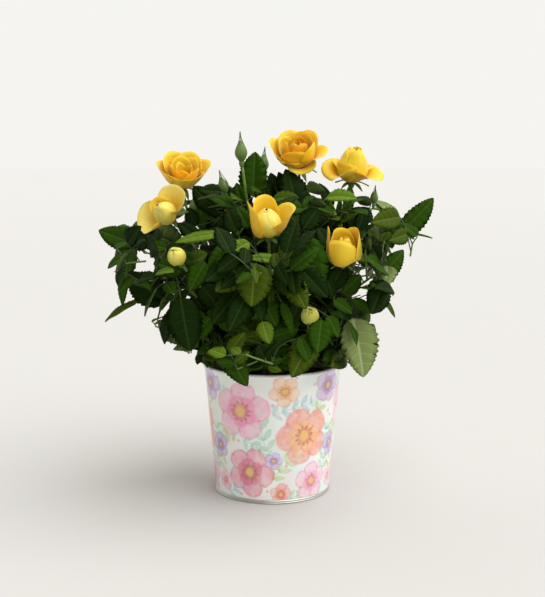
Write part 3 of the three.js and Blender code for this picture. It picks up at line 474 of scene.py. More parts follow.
# Leaves on finer stalks at the front and top of the bush: the foot and tip of each leaflet, its width, the
# green of its spray and the way it faces, where that isn't the usual one
usualFacing = (0, -1, 0.3)
frontLeaves = [
    ((-87, -50, 171), (-118, -42, 190), 30, "deep", (-0.1, -0.9, 0.4)),
    ((-72, -74, 177), (-65, -80, 135), 33, "deep", (-0.2, -1, 0.25)),
    ((-82, -60, 163), (-88, -62, 137), 13, "deep", (-0.3, -1, 0.2)),
    ((-43, -78, 163), (-18, -82, 151), 19, "mid", (0, -0.8, 0.6)),
    ((-8, -88, 160), (-3, -92, 143), 15, "fresh", (-0.2, -1, 0.3)),
    ((7, -82, 174), (17, -88, 150), 10, "mid", (0.5, -1, 0.2)),
    ((38, -86, 161), (35, -92, 136), 22, "mid"),
    ((43, -80, 163), (52, -84, 147), 14, "mid", (0.3, -1, 0.3)),
    ((9, -92, 191), (27, -88, 173), 15, "pale", (0.2, -0.8, 0.7)),
    ((26, -64, 224), (35, -74, 177), 31, "mid", (-0.2, -1, 0.3)),
    ((38, -62, 203), (49, -66, 174), 20, "deep", (0.2, -1, 0.3)),
    ((14, -60, 227), (9, -72, 195), 20, "deep", (-0.2, -1, 0.3)),
    ((-25, -72, 203), (-40, -76, 193), 13, "mid", (0, -0.7, 0.7)),
    ((5, -80, 206), (-19, -84, 210), 11, "fresh", (0, -0.4, 0.9)),
    ((-31, -64, 219), (-42, -70, 207), 15, "pale", (0, -1, 0.4)),
    ((-39, -55, 225), (-77, -62, 221), 12, "fresh", (0, -0.5, 0.85)),
    ((-32, -20, 244), (-54, -24, 256), 16, "mid", (0, -0.8, 0.6)),
    ((-47, -20, 242), (-66, -15, 261), 20, "deep", (0.1, -1, 0.3)),
    ((0, -6, 249), (21, -12, 253), 17, "olive", (0, -0.7, 0.7)),
    ((48, -72, 174), (63, -76, 165), 13, "mid", (0, -0.8, 0.6)),
    ((63, -60, 173), (80, -62, 163), 12, "mid", (0, -0.6, 0.8)),
    ((68, -44, 206), (81, -46, 202), 11, "fresh", (0, -0.7, 0.7)),
    ((-73, -52, 194), (-93, -48, 201), 19, "mid", (0, -0.9, 0.5)),
    ((-86, -40, 212), (-103, -36, 215), 14, "mid", (0, -0.7, 0.7)),
    ((-53, -62, 203), (-66, -68, 181), 20, "mid", (-0.2, -1, 0.4)),
    ((-56, -68, 185), (-40, -74, 166), 21, "deep", (0.1, -1, 0.4)),
    ((-21, -78, 174), (-29, -82, 155), 19, "deep", (-0.2, -1, 0.3)),
    ((-8, -80, 176), (3, -86, 156), 20, "mid", (0.2, -1, 0.3)),
    ((22, -80, 176), (14, -84, 156), 17, "deep", (-0.1, -1, 0.3)),
    ((46, -62, 183), (59, -60, 203), 18, "deep", (0.1, -1, 0.2)),
    ((57, -55, 178), (71, -52, 192), 16, "mid", (0.1, -0.9, 0.5)),
    ((-29, -50, 226), (-37, -44, 245), 17, "deep"),
    ((-19, -44, 229), (-29, -40, 246), 14, "mid"),
    ((46, -48, 211), (37, -44, 230), 18, "deep", (0, -1, 0.2)),
    ((25, -40, 228), (37, -34, 244), 20, "deep"),
    ((-59, -40, 219), (-77, -36, 233), 14, "deep", (0, -0.8, 0.5)),
    ((-65, -44, 201), (-79, -40, 211), 13, "mid", (0, -0.8, 0.5)),
    ((-49, -76, 161), (-61, -80, 145), 17, "mid", (-0.2, -1, 0.4)),
    ((-27, -84, 146), (-39, -86, 135), 15, "deep", (-0.1, -1, 0.3)),
    ((21, -88, 147), (28, -92, 129), 15, "mid", (0.2, -1, 0.2)),
    ((-11, -88, 141), (-3, -90, 125), 14, "deep", (0.1, -1, 0.2)),
    ((-16, 4, 251), (-15, 8, 289), 28, "mid", (0.1, -1, 0.1)),
    ((22, 8, 236), (13, 14, 275), 31, "deep", (-0.1, -1, 0.1)),
    ((-42, -4, 236), (-57, 0, 251), 19, "deep"),
    ((-33, 0, 246), (-47, 4, 262), 17, "deep", (0.1, -1, 0.3)),
    ((-25, 2, 244), (-31, 6, 263), 13, "mid", (0.2, -1, 0.2)),
    ((85, 16, 229), (68, 20, 242), 18, "deep"),
    ((86, 10, 218), (69, 14, 224), 17, "mid"),
    ((94, 10, 214), (93, 14, 235), 15, "mid", (0.2, -1, 0.3)),
    ((72, 0, 223), (79, 4, 242), 15, "deep"),
    ((42, 10, 226), (34, 14, 244), 20, "deep", (-0.1, -1, 0.2)),
    ((25, -4, 231), (9, 0, 237), 15, "mid", (0, -0.8, 0.6)),
    ((-63, -14, 228), (-71, -10, 243), 15, "deep"),
    ((-9, 14, 260), (-2, 8, 245), 14, "deep"),
    ((49, 16, 238), (42, 20, 263), 15, "deep", (0, -1, 0.2)),
    ((62, 16, 236), (68, 22, 261), 14, "mid", (0, -1, 0.2)),
    ((10, 20, 246), (3, 24, 267), 17, "deep", (0, -1, 0.2)),
    ((15, 16, 243), (11, 18, 260), 13, "mid", (0, -1, 0.2)),
    ((-47, -2, 224), (-58, 2, 241), 19, "deep"),
    ((-49, 0, 239), (-60, 4, 257), 16, "deep"),
    ((-41, 2, 243), (-48, 6, 260), 16, "mid"),
    ((-37, -6, 227), (-49, -2, 237), 15, "mid", (0, -1, 0.4)),
    ((4, 20, 245), (-1, 24, 271), 19, "deep", (0, -1, 0.2)),
    ((70, 30, 217), (66, 34, 242), 17, "deep", (0, -1, 0.2)),
    ((-58, -2, 224), (-62, 2, 246), 15, "mid"),
    ((8, -86, 192), (30, -90, 182), 15, "pale", (-0.2, -1, 0.35)),
    ((12, 22, 250), (6, 26, 272), 14, "deep", (0, -1, 0.2)),
    ((66, 30, 215), (61, 32, 235), 14, "deep", (0, -1, 0.2)),
]
frontLeaves += [((53, -8, 229), (x, -12, z), 6.5, tint, (0, -0.8, 0.6)) for x, z, tint in [
    (40, 242, "olive"), (48, 249, "fresh"), (57, 252, "olive"), (65, 248, "olive"), (71, 239, "fresh"),
    (36, 231, "fresh"), (61, 218, "fresh"), (45, 220, "fresh")]]


def potRadiusAt(height):
    return pot["footRadius"] + (pot["rimRadius"] - pot["bead"] - pot["footRadius"]) * height / pot["height"]


# A cane leaves the base stem, rises and leans out, and ends just inside the mass it carries.
def planCane(mass):
    ring = mass["ring"]
    rise = ring["rise"] * degrees
    leave = mass["outward"] * math.cos(rise) + up * math.sin(rise)
    clearOfStem = baseStem["waist"] + gap + cane["footRadius"] * math.sin(rise)
    foot = mass["outward"] * clearOfStem + up * (stemFoot + baseStem["height"] * ring["footAt"])
    tip = mix(foot, mass["site"], ring["reaches"])
    pull = np.linalg.norm(tip - foot) * 0.36
    arrive = unit(mix(unit(tip - foot), up, 0.25))
    line = bendPoints(foot, leave * pull, tip, arrive * pull, cane["steps"])
    return {"line": line, "end": unit(line[-1] - line[-2]), "radii": (cane["footRadius"], cane["tipRadius"])}


def planMasses():
    masses = []
    for level, ring in enumerate(rings):
        for i, side in enumerate(ring["sides"]):
            bearing = (ring["first"] + 360 / len(ring["sides"]) * i) * degrees
            outward = np.array([math.cos(bearing), math.sin(bearing), 0])
            site = outward * [*ring["radius"], 0] + up * ring["height"]
            masses.append({"name": ring["level"] + "_" + side, "level": level, "ring": ring, "outward": outward,
                           "site": site, "index": len(masses)})
    for mass in masses:
        mass["cane"] = planCane(mass)
        others = np.array([other["site"] for other in masses if other is not mass])
        mass["between"] = (others + mass["site"]) / 2
        mass["toOther"] = (others - mass["site"]) / np.linalg.norm(others - mass["site"], axis=1)[:, None]
    return masses


# A rose's stalk leaves the side of its cane just under the mass, on the side nearest the rose.
def planStalk(rose, masses):
    carrier = next(mass for mass in masses if mass["name"] == rose["on"])["cane"]["line"]
    head = rose["at"] - rose["faces"] * rose["height"] * 0.5
    sharing = [other for other in roses if other["on"] == rose["on"]].index(rose)
    joint = carrier[-2 - sharing]
    caneRadius = mix(cane["footRadius"], cane["tipRadius"], 1 - (1 + sharing) / cane["steps"])
    axis = unit(carrier[-1 - sharing] - carrier[-3 - sharing])
    sideways = squareTo(head - joint, axis)
    foot = joint + sideways * (caneRadius * 0.94 + gap)
    pull = np.linalg.norm(foot - head) * 0.3
    line = bendPoints(foot + sideways * leadIn, mix(sideways, axis, 0.3) * pull, head, rose["faces"] * pull,
                      stalk["steps"])
    return {"line": np.vstack([foot, line]), "radii": (stalk["footRadius"], stalk["tipRadius"])}


# Room that growth keeps, in mm, and for a shown bloom as a share of its radius
clearings = {"shownStalk": 3.2, "shownBloom": 0.9, "leaf": 1.2, "twig": 1.4, "abovePot": 2.5, "besidePot": 3}


# Beads along every cane and stalk, and two on each head, that foliage has to stay clear of.
def obstacleBeads(masses):
    places, sizes = [], []
    for stem in [mass["cane"] for mass in masses] + [rose["stalk"] for rose in roses]:
        curve = Spline(stem["line"])
        count = math.ceil(curve.length / 3)
        for i in range(count + 1):
            places.append(curve.along(i / count))
            sizes.append(mix(*stem["radii"], i / count))
    for rose in roses:
        places += [rose["at"], rose["at"] + rose["faces"] * rose["height"] * 0.5]
        sizes += [rose["radius"] + 1, rose["radius"] * 0.6]
    return np.array(places), np.array(sizes)


def inOwnSpace(points, mass):
    toPoint = points[:, None] - mass["between"]
    return bool(((toPoint * mass["toOther"]).sum(2) < -gap / 2).all())


def inCrown(point):
    offset = point - crown["middle"]
    reach = np.where(offset < 0, crown["least"], crown["most"])
    return (np.abs(offset / reach) ** crown["squareness"]).sum() < 1


def clearOfPot(points):
    return bool(((points[:, 2] > pot["height"] + clearings["abovePot"]) |
                 (np.hypot(points[:, 0], points[:, 1]) > pot["rimRadius"] + clearings["besidePot"])).all())


def marginOf(blade):
    side, width = np.cross(blade["face"], blade["direction"]), blade["width"] / 2
    outline = [(0, 0), (0.3, 1), (0.68, 0.74), (1, 0), (0.68, -0.74), (0.3, -1)]
    return np.array([blade["base"] + blade["direction"] * x * blade["length"] + side * y * width
                     for x, y in outline])


def ovalsOf(blades):
    direction, face = np.array([b["direction"] for b in blades]), np.array([b["face"] for b in blades])
    length = np.array([b["length"] for b in blades])
    middle = np.array([b["base"] for b in blades]) + direction * length[:, None] / 2
    return middle, face, direction, np.cross(face, direction), length / 2, np.array([b["width"] for b in blades]) / 2


# True where a line runs through a leaflet, or lies nearer to it than asked.
def anyCut(starts, ends, ovals, near):
    middle, face, direction, side, halfLength, halfWidth = ovals
    offStart = ((starts[:, None] - middle) * face).sum(2)
    offEnd = ((ends[:, None] - middle) * face).sum(2)
    crossing = offStart * offEnd <= 0
    spread = np.where(offStart == offEnd, 1, offStart - offEnd)
    share = np.where(crossing, offStart / spread, np.abs(offEnd) < np.abs(offStart))
    offset = starts[:, None] + (ends - starts)[:, None] * share[..., None] - middle
    inside = ((offset * direction).sum(2) / halfLength) ** 2 + ((offset * side).sum(2) / halfWidth) ** 2 < 1
    close = crossing | (np.minimum(np.abs(offStart), np.abs(offEnd)) <= near)
    return bool((inside & close).any())


def leafletLines(blade):
    margin = marginOf(blade)
    starts = np.vstack([margin, margin[[0, 1]]])
    return starts, np.vstack([np.roll(margin, -1, axis=0), margin[[3, 5]]])


def leafletCrosses(blade, others, near):
    others = [other for other in others
              if np.linalg.norm(blade["base"] - other["base"]) < blade["length"] + other["length"]]
    if not others:
        return False
    if anyCut(*leafletLines(blade), ovalsOf(others), near):
        return True
    starts, ends = zip(*(leafletLines(other) for other in others))
    return anyCut(np.vstack(starts), np.vstack(ends), ovalsOf([blade]), near)


# The bush's outline, and the gaps that show through it, on the upright plane through the pot's middle. A leaf
# grows only where it stays inside the outline and out of the gaps, looked at from the front.
outlineSeen = [  # x and z, in mm
    (-58, 102), (-65, 93), (-69, 116), (-74, 118), (-93, 123), (-96, 136), (-108, 148), (-117, 128),
    (-119, 133), (-114, 154), (-143, 150), (-144, 157), (-132, 164), (-144, 178), (-144, 196), (-147, 215),
    (-148, 226), (-130, 231), (-118, 227), (-111, 237), (-94, 249), (-73, 249), (-70, 265), (-58, 269),
    (-51, 264), (-39, 267), (-29, 264), (-22, 282), (-14, 290), (-4, 267), (0, 262), (8, 275), (16, 277),
    (30, 265), (36, 267), (41, 270), (48, 265), (61, 269), (75, 262), (83, 259), (104, 254), (109, 235),
    (130, 250), (138, 250), (134, 235), (128, 223), (134, 217), (113, 215), (112, 205), (105, 188), (105, 167),
    (98, 159), (106, 145), (91, 154), (89, 138), (87, 119), (75, 96), (68, 100), (58, 102), (0, 84),
]
skyWindows = [  # x, z and half sizes
    (-110, 196, 9, 9), (-112, 167, 7, 10), (-92, 225, 5, 4), (-72, 252, 3, 7), (73, 182, 7, 8), (-1, 260, 3, 3),
    (33, 263, 3, 7), (49, 257, 3, 7), (104, 207, 3, 5),
]


def insideOutline(points):
    eye = np.array(view["place"], float)
    seen = eye + (points - eye) * (eye[1] / (eye[1] - points[:, 1]))[:, None]
    x, z = seen[:, 0], seen[:, 2]
    corners = np.array(outlineSeen, float)
    x0, z0 = corners.T
    x1, z1 = np.roll(corners, -1, axis=0).T
    spans = (z0 > z[:, None]) != (z1 > z[:, None])
    crossing = x0 + (z[:, None] - z0) * (x1 - x0) / np.where(z1 == z0, 1, z1 - z0)
    inside = (spans & (x[:, None] < crossing)).sum(1) % 2 == 1
    for middleX, middleZ, halfX, halfZ in skyWindows:
        inside &= ((x - middleX) / halfX) ** 2 + ((z - middleZ) / halfZ) ** 2 > 1
    return bool(inside.all())


# Leaves part before a bloom: none stands between it and the side it shows itself to.
def hidesBloom(blade):
    middle = blade["base"] + blade["direction"] * blade["length"] * 0.5
    points = np.vstack([marginOf(blade), middle])
    spots = np.vstack([points, (points + middle) / 2])
    for spot, direction in plant["shownStalks"]:
        offset = spots - spot
        ahead = offset @ direction
        aside = np.linalg.norm(offset - np.outer(ahead, direction), axis=1)
        if ((ahead > 0) & (aside < clearings["shownStalk"])).any():
            return True
    for rose in roses:
        offset = points - rose["at"]
        ahead = offset @ rose["shows"]
        aside = np.linalg.norm(offset - np.outer(ahead, rose["shows"]), axis=1)
        if ((ahead > 0) & (aside < rose["radius"] * clearings["shownBloom"])).any():
            return True
    return False


def leafletFits(blade, mass, plant):
    margin = marginOf(blade)
    droop = margin[3] - blade["face"] * leaflet["droopTip"] * blade["length"]
    lifted = margin[[1, 5]] + blade["face"] * leaflet["fold"] * blade["width"]
    points = np.vstack([margin, droop, lifted])
    if not (inOwnSpace(points, mass) and clearOfPot(points)):
        return False
    places, sizes = plant["beads"]
    room = sizes + clearings["leaf"]
    offset = places - (blade["base"] + blade["direction"] * blade["length"] / 2)
    off = np.abs(offset @ blade["face"])
    lengthways = offset @ blade["direction"] / (blade["length"] / 2 + room)
    sideways = offset @ np.cross(blade["face"], blade["direction"]) / (blade["width"] / 2 + room)
    touching = (off < room + blade["width"] * leaflet["fold"]) & (lengthways ** 2 + sideways ** 2 < 1)
    return not touching.any()


def twigFits(line, mass, plant):
    samples = np.vstack([line, (line[1:] + line[:-1]) / 2])
    places, sizes = plant["beads"]
    apart = np.linalg.norm(samples[:, None] - places, axis=2)
    return (inOwnSpace(samples, mass) and clearOfPot(samples) and
            bool((apart > sizes + twig["stemRadius"] + clearings["twig"]).all()))


def quadraticPoint(curve, t):
    a, b, c = curve
    return a * (1 - t) ** 2 + b * 2 * t * (1 - t) + c * t * t


def quadraticTangent(curve, t):
    low, high = max(0, t - 1e-4), min(1, t + 1e-4)
    return unit(quadraticPoint(curve, high) - quadraticPoint(curve, low))


# A compound leaf: a stalk that arches over, an end leaflet and pairs that hang from it.
def compoundLeaf(start, heading, outward, hang, roll, size):
    reach = spray["rachis"] * size
    curve = (start, start + heading * reach * 0.55, start + heading * reach * 0.92 - up * hang * reach * 0.3)
    face = turned(squareTo(mix(outward, up, 0.45), heading), heading, roll)
    blades = []
    for at, turn, share, extraHang in [(1, 0, 1, 0.75)] + [
            (at, hand * spread, share, 0.55) for at, share, spread in spray["pairs"] for hand in (1, -1)]:
        tangent = quadraticTangent(curve, at)
        direction = turned(tangent, squareTo(face, tangent), turn * degrees)
        direction = unit(direction - up * hang * extraHang)
        length = leaflet["length"] * share * size
        blades.append({"base": quadraticPoint(curve, at), "direction": direction, "at": at,
                       "face": squareTo(face, direction), "length": length,
                       "width": length * leaflet["widthShare"]})
    line = np.array([quadraticPoint(curve, t) for t in (0, 0.5, 1)])
    return {"curve": curve, "line": line, "blades": blades}


# Where leaves stand on a stem: each a golden angle past the last.
def phyllotaxis(line, count, first, draw):
    curve = Spline(line)
    places = []
    for k in range(count):
        at = first + (1 - first) * k / max(1, count - 1)
        tangent = curve.tangent(at)
        zero = squareTo(np.array([1.0, 0, 0]) if abs(tangent[2]) > 0.9 else up, tangent)
        turn = k * goldenAngle + (draw() - 0.5) * 0.8
        places.append({"at": at, "point": curve.along(at), "tangent": tangent, "k": k,
                       "radial": turned(zero, tangent, turn)})
    return places


# Leaves are upright at the top of the crown, droop half way down, and less over the pot.
def hangAt(height):
    upper = mix(0.95, 0.12, smoothStep(height, 178, 262))
    return min(upper, mix(0.45, 0.95, smoothStep(height, 118, 178)))


# A leaf turns aside, if it has to, to find room for enough leaflets.
def growLeaf(place, mass, plant, draw, found, stems, scale=1, fewest=2, near=leaflet["thickness"]):
    outward = unit(place["point"] - hub)
    tilt = draw()
    roll = (draw() - 0.5) * 0.9
    size = mass["ring"]["scale"] * (0.82 + 0.36 * draw()) * scale
    sideways = mix(place["radial"], outward, 0.42 + 0.2 * tilt)
    grown = plant["placed"] + [blade for other in found for blade in other["blades"]]
    grownOvals = ovalsOf(grown) if grown else None
    lines = [np.asarray(line) for line in [*stems, *(other["line"] for other in found)]]
    starts, ends = np.vstack([line[:-1] for line in lines]), np.vstack([line[1:] for line in lines])
    for turn in (0, 40, -40, 80, -80):
        heading = turned(sideways, place["tangent"], turn * degrees)
        heading = unit(heading + up * (0.22 + 0.2 * tilt))
        leaf = compoundLeaf(place["point"], heading, outward, hangAt(place["point"][2]), roll, size)
        if not twigFits(leaf["line"][1:], mass, plant):
            continue
        if grown and anyCut(leaf["line"][:-1], leaf["line"][1:], grownOvals, near):
            continue
        blades = []
        for blade in leaf["blades"]:
            if (inCrown(blade["base"] + blade["direction"] * blade["length"]) and leafletFits(blade, mass, plant)
                    and insideOutline(marginOf(blade)) and not hidesBloom(blade)
                    and not leafletCrosses(blade, grown + blades, near)
                    and not anyCut(starts, ends, ovalsOf([blade]), near)):
                blades.append(blade)
        if len(blades) >= fewest:
            found.append({**leaf, "blades": blades})
            return True
    return False


def leafletTo(base, tip, width, faces):
    reach = np.array(tip, float) - base
    direction = unit(reach)
    return {"base": base, "direction": direction, "length": np.linalg.norm(reach), "width": width, "at": 1,
            "face": squareTo(np.array(faces, float), direction)}


def growOuterLeaves(mass, plant, stemLine, found):
    for joint, leaflets, *tint in outerLeaves:
        end = np.array(joint, float)
        owner = min(plant["masses"], key=lambda other: np.linalg.norm(other["site"] - end))
        if owner is not mass:
            continue
        start = Spline(stemLine).along(0.55)
        arrive = mix(end - start, -up, 0.1) * 0.3
        line = bendPoints(start, up * 8, end, arrive, 3)
        blades = []
        for tip, width, *rest in leaflets:
            base = np.array(rest[0], float) if rest and rest[0] else end
            blade = leafletTo(base, tip, width, rest[1] if len(rest) > 1 else (0, -1, 0.25))
            if leafletFits(blade, mass, plant):
                blades.append(blade)
        if blades:
            found.append({"curve": None, "line": line, "blades": blades, **({"tint": tint[0]} if tint else {})})


def placedLeaves(masses):
    leaves = []
    for foot, tip, width, tint, *faces in frontLeaves:
        blade = leafletTo(np.array(foot, float), tip, width, faces[0] if faces else usualFacing)
        owner = min(masses, key=lambda mass: np.linalg.norm(mass["site"] - blade["base"]))
        leaves.append({"curve": None, "blades": [blade], "owner": owner, "tint": tint})
    return leaves


def cutOff(line, share):
    curve, end = Spline(line), min(1, share)
    kept, length = [line[0]], 0
    for before, point in zip(line, line[1:]):
        length += np.linalg.norm(point - before)
        if length > curve.length * end - leadIn:
            break
        kept.append(point)
    return np.array([*kept, curve.along(end)])


def growTwig(place, outward, mass, plant, draw, leaves, stems, count=3, scale=1, near=leaflet["thickness"]):
    heading = unit(mix(place["radial"], outward, 0.4) + up * 0.25)
    least, more = twig["length"]
    length = least + more * draw()
    end = place["point"] + heading * length
    line = bendPoints(place["point"], heading * length * 0.3, end, mix(heading, up, 0.2) * length * 0.3, 2)
    if not twigFits(line[1:], mass, plant):
        return None
    grown = [spot for spot in phyllotaxis(line, count, 0.5, draw)
             if growLeaf(spot, mass, plant, draw, leaves, [*stems, line], scale, 2, near)]
    return cutOff(line, grown[-1]["at"] + 0.03) if grown else None


# Sizes of the finer growth that the solids leave out
fineGrowth = {"sites": 16, "twigs": 12, "scale": 0.92, "near": 0.3, "leavesOnTwig": 4}


def planMass(mass, plant):
    draw = seededRandom(seeds["mass"] + 97 * mass["index"])
    start = mass["cane"]["line"][-1] + mass["cane"]["end"] * gap
    outward = unit(mass["site"] - hub)
    tip = mass["site"] + outward * mass["ring"]["reach"]
    reach = np.linalg.norm(tip - start)
    stemLine = np.vstack([start, bendPoints(start + mass["cane"]["end"] * leadIn, mass["cane"]["end"] * reach * 0.33,
                                            tip, outward * reach * 0.3, 4)])
    leaves, twigs = [], []
    growOuterLeaves(mass, plant, stemLine, leaves)
    for leaf in plant["front"]:
        if leaf["owner"] is mass:
            blade = leaf["blades"][0]
            stem = Spline(stemLine).sampled(12)
            start = min(stem, key=lambda point: np.linalg.norm(point - blade["base"]))
            far = np.linalg.norm(blade["base"] - start)
            leaf["line"] = bendPoints(start, up * min(10, far * 0.3), blade["base"],
                                      unit(mix(unit(blade["base"] - start), blade["direction"], 0.4)) * far * 0.35, 3)
            leaves.append(leaf)
    last = 0.55 if leaves else 0
    for place in phyllotaxis(stemLine, mass["ring"]["leaves"], 0.16, draw):
        if growLeaf(place, mass, plant, draw, leaves, [stemLine, *twigs]):
            last = place["at"]
        if place["k"] % 2 == 0:
            continue
        side = growTwig(place, outward, mass, plant, draw, leaves, [stemLine, *twigs])
        if side is not None:
            twigs.append(side)
            last = place["at"]
    solidLeaves = len(leaves)
    # The finer twigs and their smaller leaves fill what room is left.
    draw = seededRandom(seeds["fine"] + 31 * mass["index"])
    fine, near = fineGrowth, fineGrowth["near"]
    for place in phyllotaxis(stemLine, fine["sites"], 0.1, draw):
        growLeaf(place, mass, plant, draw, leaves, [stemLine, *twigs], fine["scale"], 2, near)
    for place in phyllotaxis(stemLine, fine["twigs"], 0.2, draw):
        side = growTwig(place, outward, mass, plant, draw, leaves, [stemLine, *twigs], fine["leavesOnTwig"],
                        fine["scale"], near)
        if side is not None:
            twigs.append(side)
    for side in list(twigs):
        for place in phyllotaxis(side, 3, 0.3, draw):
            growLeaf(place, mass, plant, draw, leaves, [stemLine, *twigs], fine["scale"] * 0.85, 1, near)
    return {"stemLine": cutOff(stemLine, last + 0.03), "twigs": twigs, "leaves": leaves, "solidLeaves": solidLeaves}


# Shaded leaves on the canes close the middle of the bush. Four in five take the deepest of the real leaf greens,
# chosen as painted shade.
innerGrowth = {"leaves": 15, "first": 0.4, "size": 1.05, "reach": 78, "behindFront": -60}


def growInner(mass):
    draw = seededRandom(seeds["inner"] + 17 * mass["index"])
    leaves = []
    for place in phyllotaxis(mass["cane"]["line"], innerGrowth["leaves"], innerGrowth["first"], draw):
        outward = unit(place["point"] - hub * [1, 1, 0.6])
        heading = unit(mix(place["radial"], outward, 0.3) + up * (0.2 + 0.5 * draw()))
        size = innerGrowth["size"] * (0.8 + 0.4 * draw())
        leaf = compoundLeaf(place["point"], heading, outward, 0.5 * draw(), (draw() - 0.5) * 1.6, size)
        blades = []
        for blade in leaf["blades"]:
            margin = marginOf(blade)
            reaches = np.hypot(margin[:, 0], margin[:, 1])
            if (clearOfPot(margin) and insideOutline(margin) and not hidesBloom(blade)
                    and reaches.max() < innerGrowth["reach"] and margin[:, 1].min() > innerGrowth["behindFront"]):
                blades.append(blade)
        if blades:
            leaves.append({**leaf, "blades": blades})
    return leaves


masses = planMasses()
for rose in roses:
    rose["stalk"] = planStalk(rose, masses)
    fromFront = rose["at"][1] < 40
    toViewer = np.array(view["place"]) - rose["at"] if fromFront else rose["at"] * [1, 1, 0] + up * 40
    rose["shows"] = unit(toViewer)
plant = {"masses": masses, "beads": obstacleBeads(masses), "front": placedLeaves(masses)}
# The upper part of these stalks stands clear of leaves too.
shownStalks = {"bud_top": 0.36, "bud_left": 0.5, "bud_low_right": 0.6, "rose_right_front": 0.62, "rose_front": 0.8,
               "rose_top": 0.72, "bud_upper_left": 0.7}
plant["shownStalks"] = [(Spline(rose["stalk"]["line"]).along(share), rose["shows"]) for rose in roses
                        if rose["name"] in shownStalks
                        for share in np.arange(shownStalks[rose["name"]], 0.97, 0.06)]
plant["placed"] = [blade for leaf in plant["front"] for blade in leaf["blades"]]
for mass in masses:
    mass["plan"] = planMass(mass, plant)
    mass["inner"] = growInner(mass)
    plan = mass["plan"]
    print(mass["name"], plan["solidLeaves"], "leaves as the solids,", len(plan["leaves"]), "in all,",
          sum(len(leaf["blades"]) for leaf in plan["leaves"]), "leaflets")

# Leaflet: toothed margin, sunk midrib and side veins with the blade swelling between them, paler below
leafShape = {
    "teeth": 11, "plainTeeth": 6, "toothDepth": 0.09,  # of the half width
    "toothed": (0.035, 0.93),  # where the teeth start, and the share of the length that has them
    "veinEvery": 2, "veinWidth": 0.3,  # mm
    "slant": 0.15, "swell": 0.5, "groove": 0.35,  # mm
    "columns": (0.06, 0.5, 1.0), "bladeThickness": 0.25,
    "turnOut": 0.42,  # how far a leaflet turns to face out of the bush
}


def outlineAt(x):
    return np.where(x <= 0, 0, (x ** 0.58) * np.maximum(1 - x, 0) ** 0.82 / 0.4066)


# Rows run from the midrib to the margin. Each is its place on the midrib, its place and width at the margin,
# how far the blade swells there, and whether the strip before the next row is a vein.
def leafRows(teeth):
    rows = [(0.0, 0.0, 0.0, 0.0, False)]
    depth = leafShape["toothDepth"]
    vein = leafShape["veinWidth"] / leaflet["length"]
    first, span = leafShape["toothed"]
    for tooth in range(teeth):
        start, end = first + span * tooth / teeth, first + span * (tooth + 1) / teeth
        point = mix(start, end, 0.62)
        veined = tooth % leafShape["veinEvery"] == 0 and 0 < tooth < teeth - 1 and teeth == leafShape["teeth"]
        rows.append((start, start, -depth, 1.0 if not veined else 0.55, False))
        if veined:
            rows.append((point - vein, point - vein * 0.4, 0, 0.0, True))
        rows.append((point, point, depth * 0.35, 0.0 if veined else 0.9, False))
    rows.append((0.985, 0.985, -depth, 0.3, False))
    table = []
    for midrib, margin, toothShift, swell, isVein in rows:
        x = margin + leafShape["slant"] * np.sin(np.pi * min(1, margin)) ** 1.2 * (1 - 0.4 * margin)
        width = float(outlineAt(np.array(x))) * (1 + toothShift)
        table.append((midrib, x, width, swell, isVein))
    return table


def leafTemplate(teeth, columns):
    rows = leafRows(teeth)
    x, y, swell, kinds = [0.0], [0.0], [0.0], []
    faces = []
    index = {}

    def point(px, py, ps):
        x.append(px)
        y.append(py)
        swell.append(ps)
        return len(x) - 1

    for r, (midrib, margin, width, rise, isVein) in enumerate(rows):
        index[r, 0, 0] = 0 if r == 0 else point(midrib, 0, -1)
        for hand in (1, -1):
            for c, share in enumerate(columns, 1):
                if r == 0:
                    index[r, c, hand] = 0
                    continue
                px = midrib + (margin - midrib) * share ** 1.3
                across = width * share if share > 0.1 else min(0.06, width * 0.5)
                bulge = rise * 4 * share * (1 - share) if share < 1 else 0
                index[r, c, hand] = point(px, hand * across, bulge)
    tip = point(1.0, 0, 0)
    last = len(rows)
    for hand in (1, -1):
        for r in range(last):
            for c in range(len(columns)):
                a, b = index[r, c, hand if c else 0], index[r, c + 1, hand]
                d, e = (index[r + 1, c, hand if c else 0], index[r + 1, c + 1, hand]) if r + 1 < last else (tip, tip)
                kind = "vein" if c == 0 or rows[r][4] else "blade"
                for corners in ((a, b, e), (a, e, d)):
                    if len(set(corners)) == 3:
                        faces.append(corners if hand < 0 else corners[::-1])
                        kinds.append(kind)
    # The underside keeps the margin and has a raised midrib of its own.
    below, lower = [], {}
    for r in range(1, last):
        lower[r] = point(rows[r][0], 0, -3)
    lower[0], lower[last] = 0, tip
    for hand in (1, -1):
        for r in range(last):
            edge = index[r, len(columns), hand] if r else 0
            nextEdge = index[r + 1, len(columns), hand] if r + 1 < last else tip
            for corners in ((lower[r], edge, nextEdge), (lower[r], nextEdge, lower[r + 1])):
                if len(set(corners)) == 3:
                    below.append(corners if hand > 0 else corners[::-1])
    return {"x": np.array(x), "y": np.array(y), "swell": np.array(swell), "faces": np.array(faces),
            "isVein": np.array([kind == "vein" for kind in kinds]), "below": np.array(below)}


fullLeaf = leafTemplate(leafShape["teeth"], leafShape["columns"])
plainLeaf = leafTemplate(leafShape["plainTeeth"], (1.0,))  # for the shade inside the bush
for kind, template in (("full", fullLeaf), ("plain", plainLeaf)):
    print(kind, "leaflet of", len(template["faces"]) + len(template["below"]), "triangles")


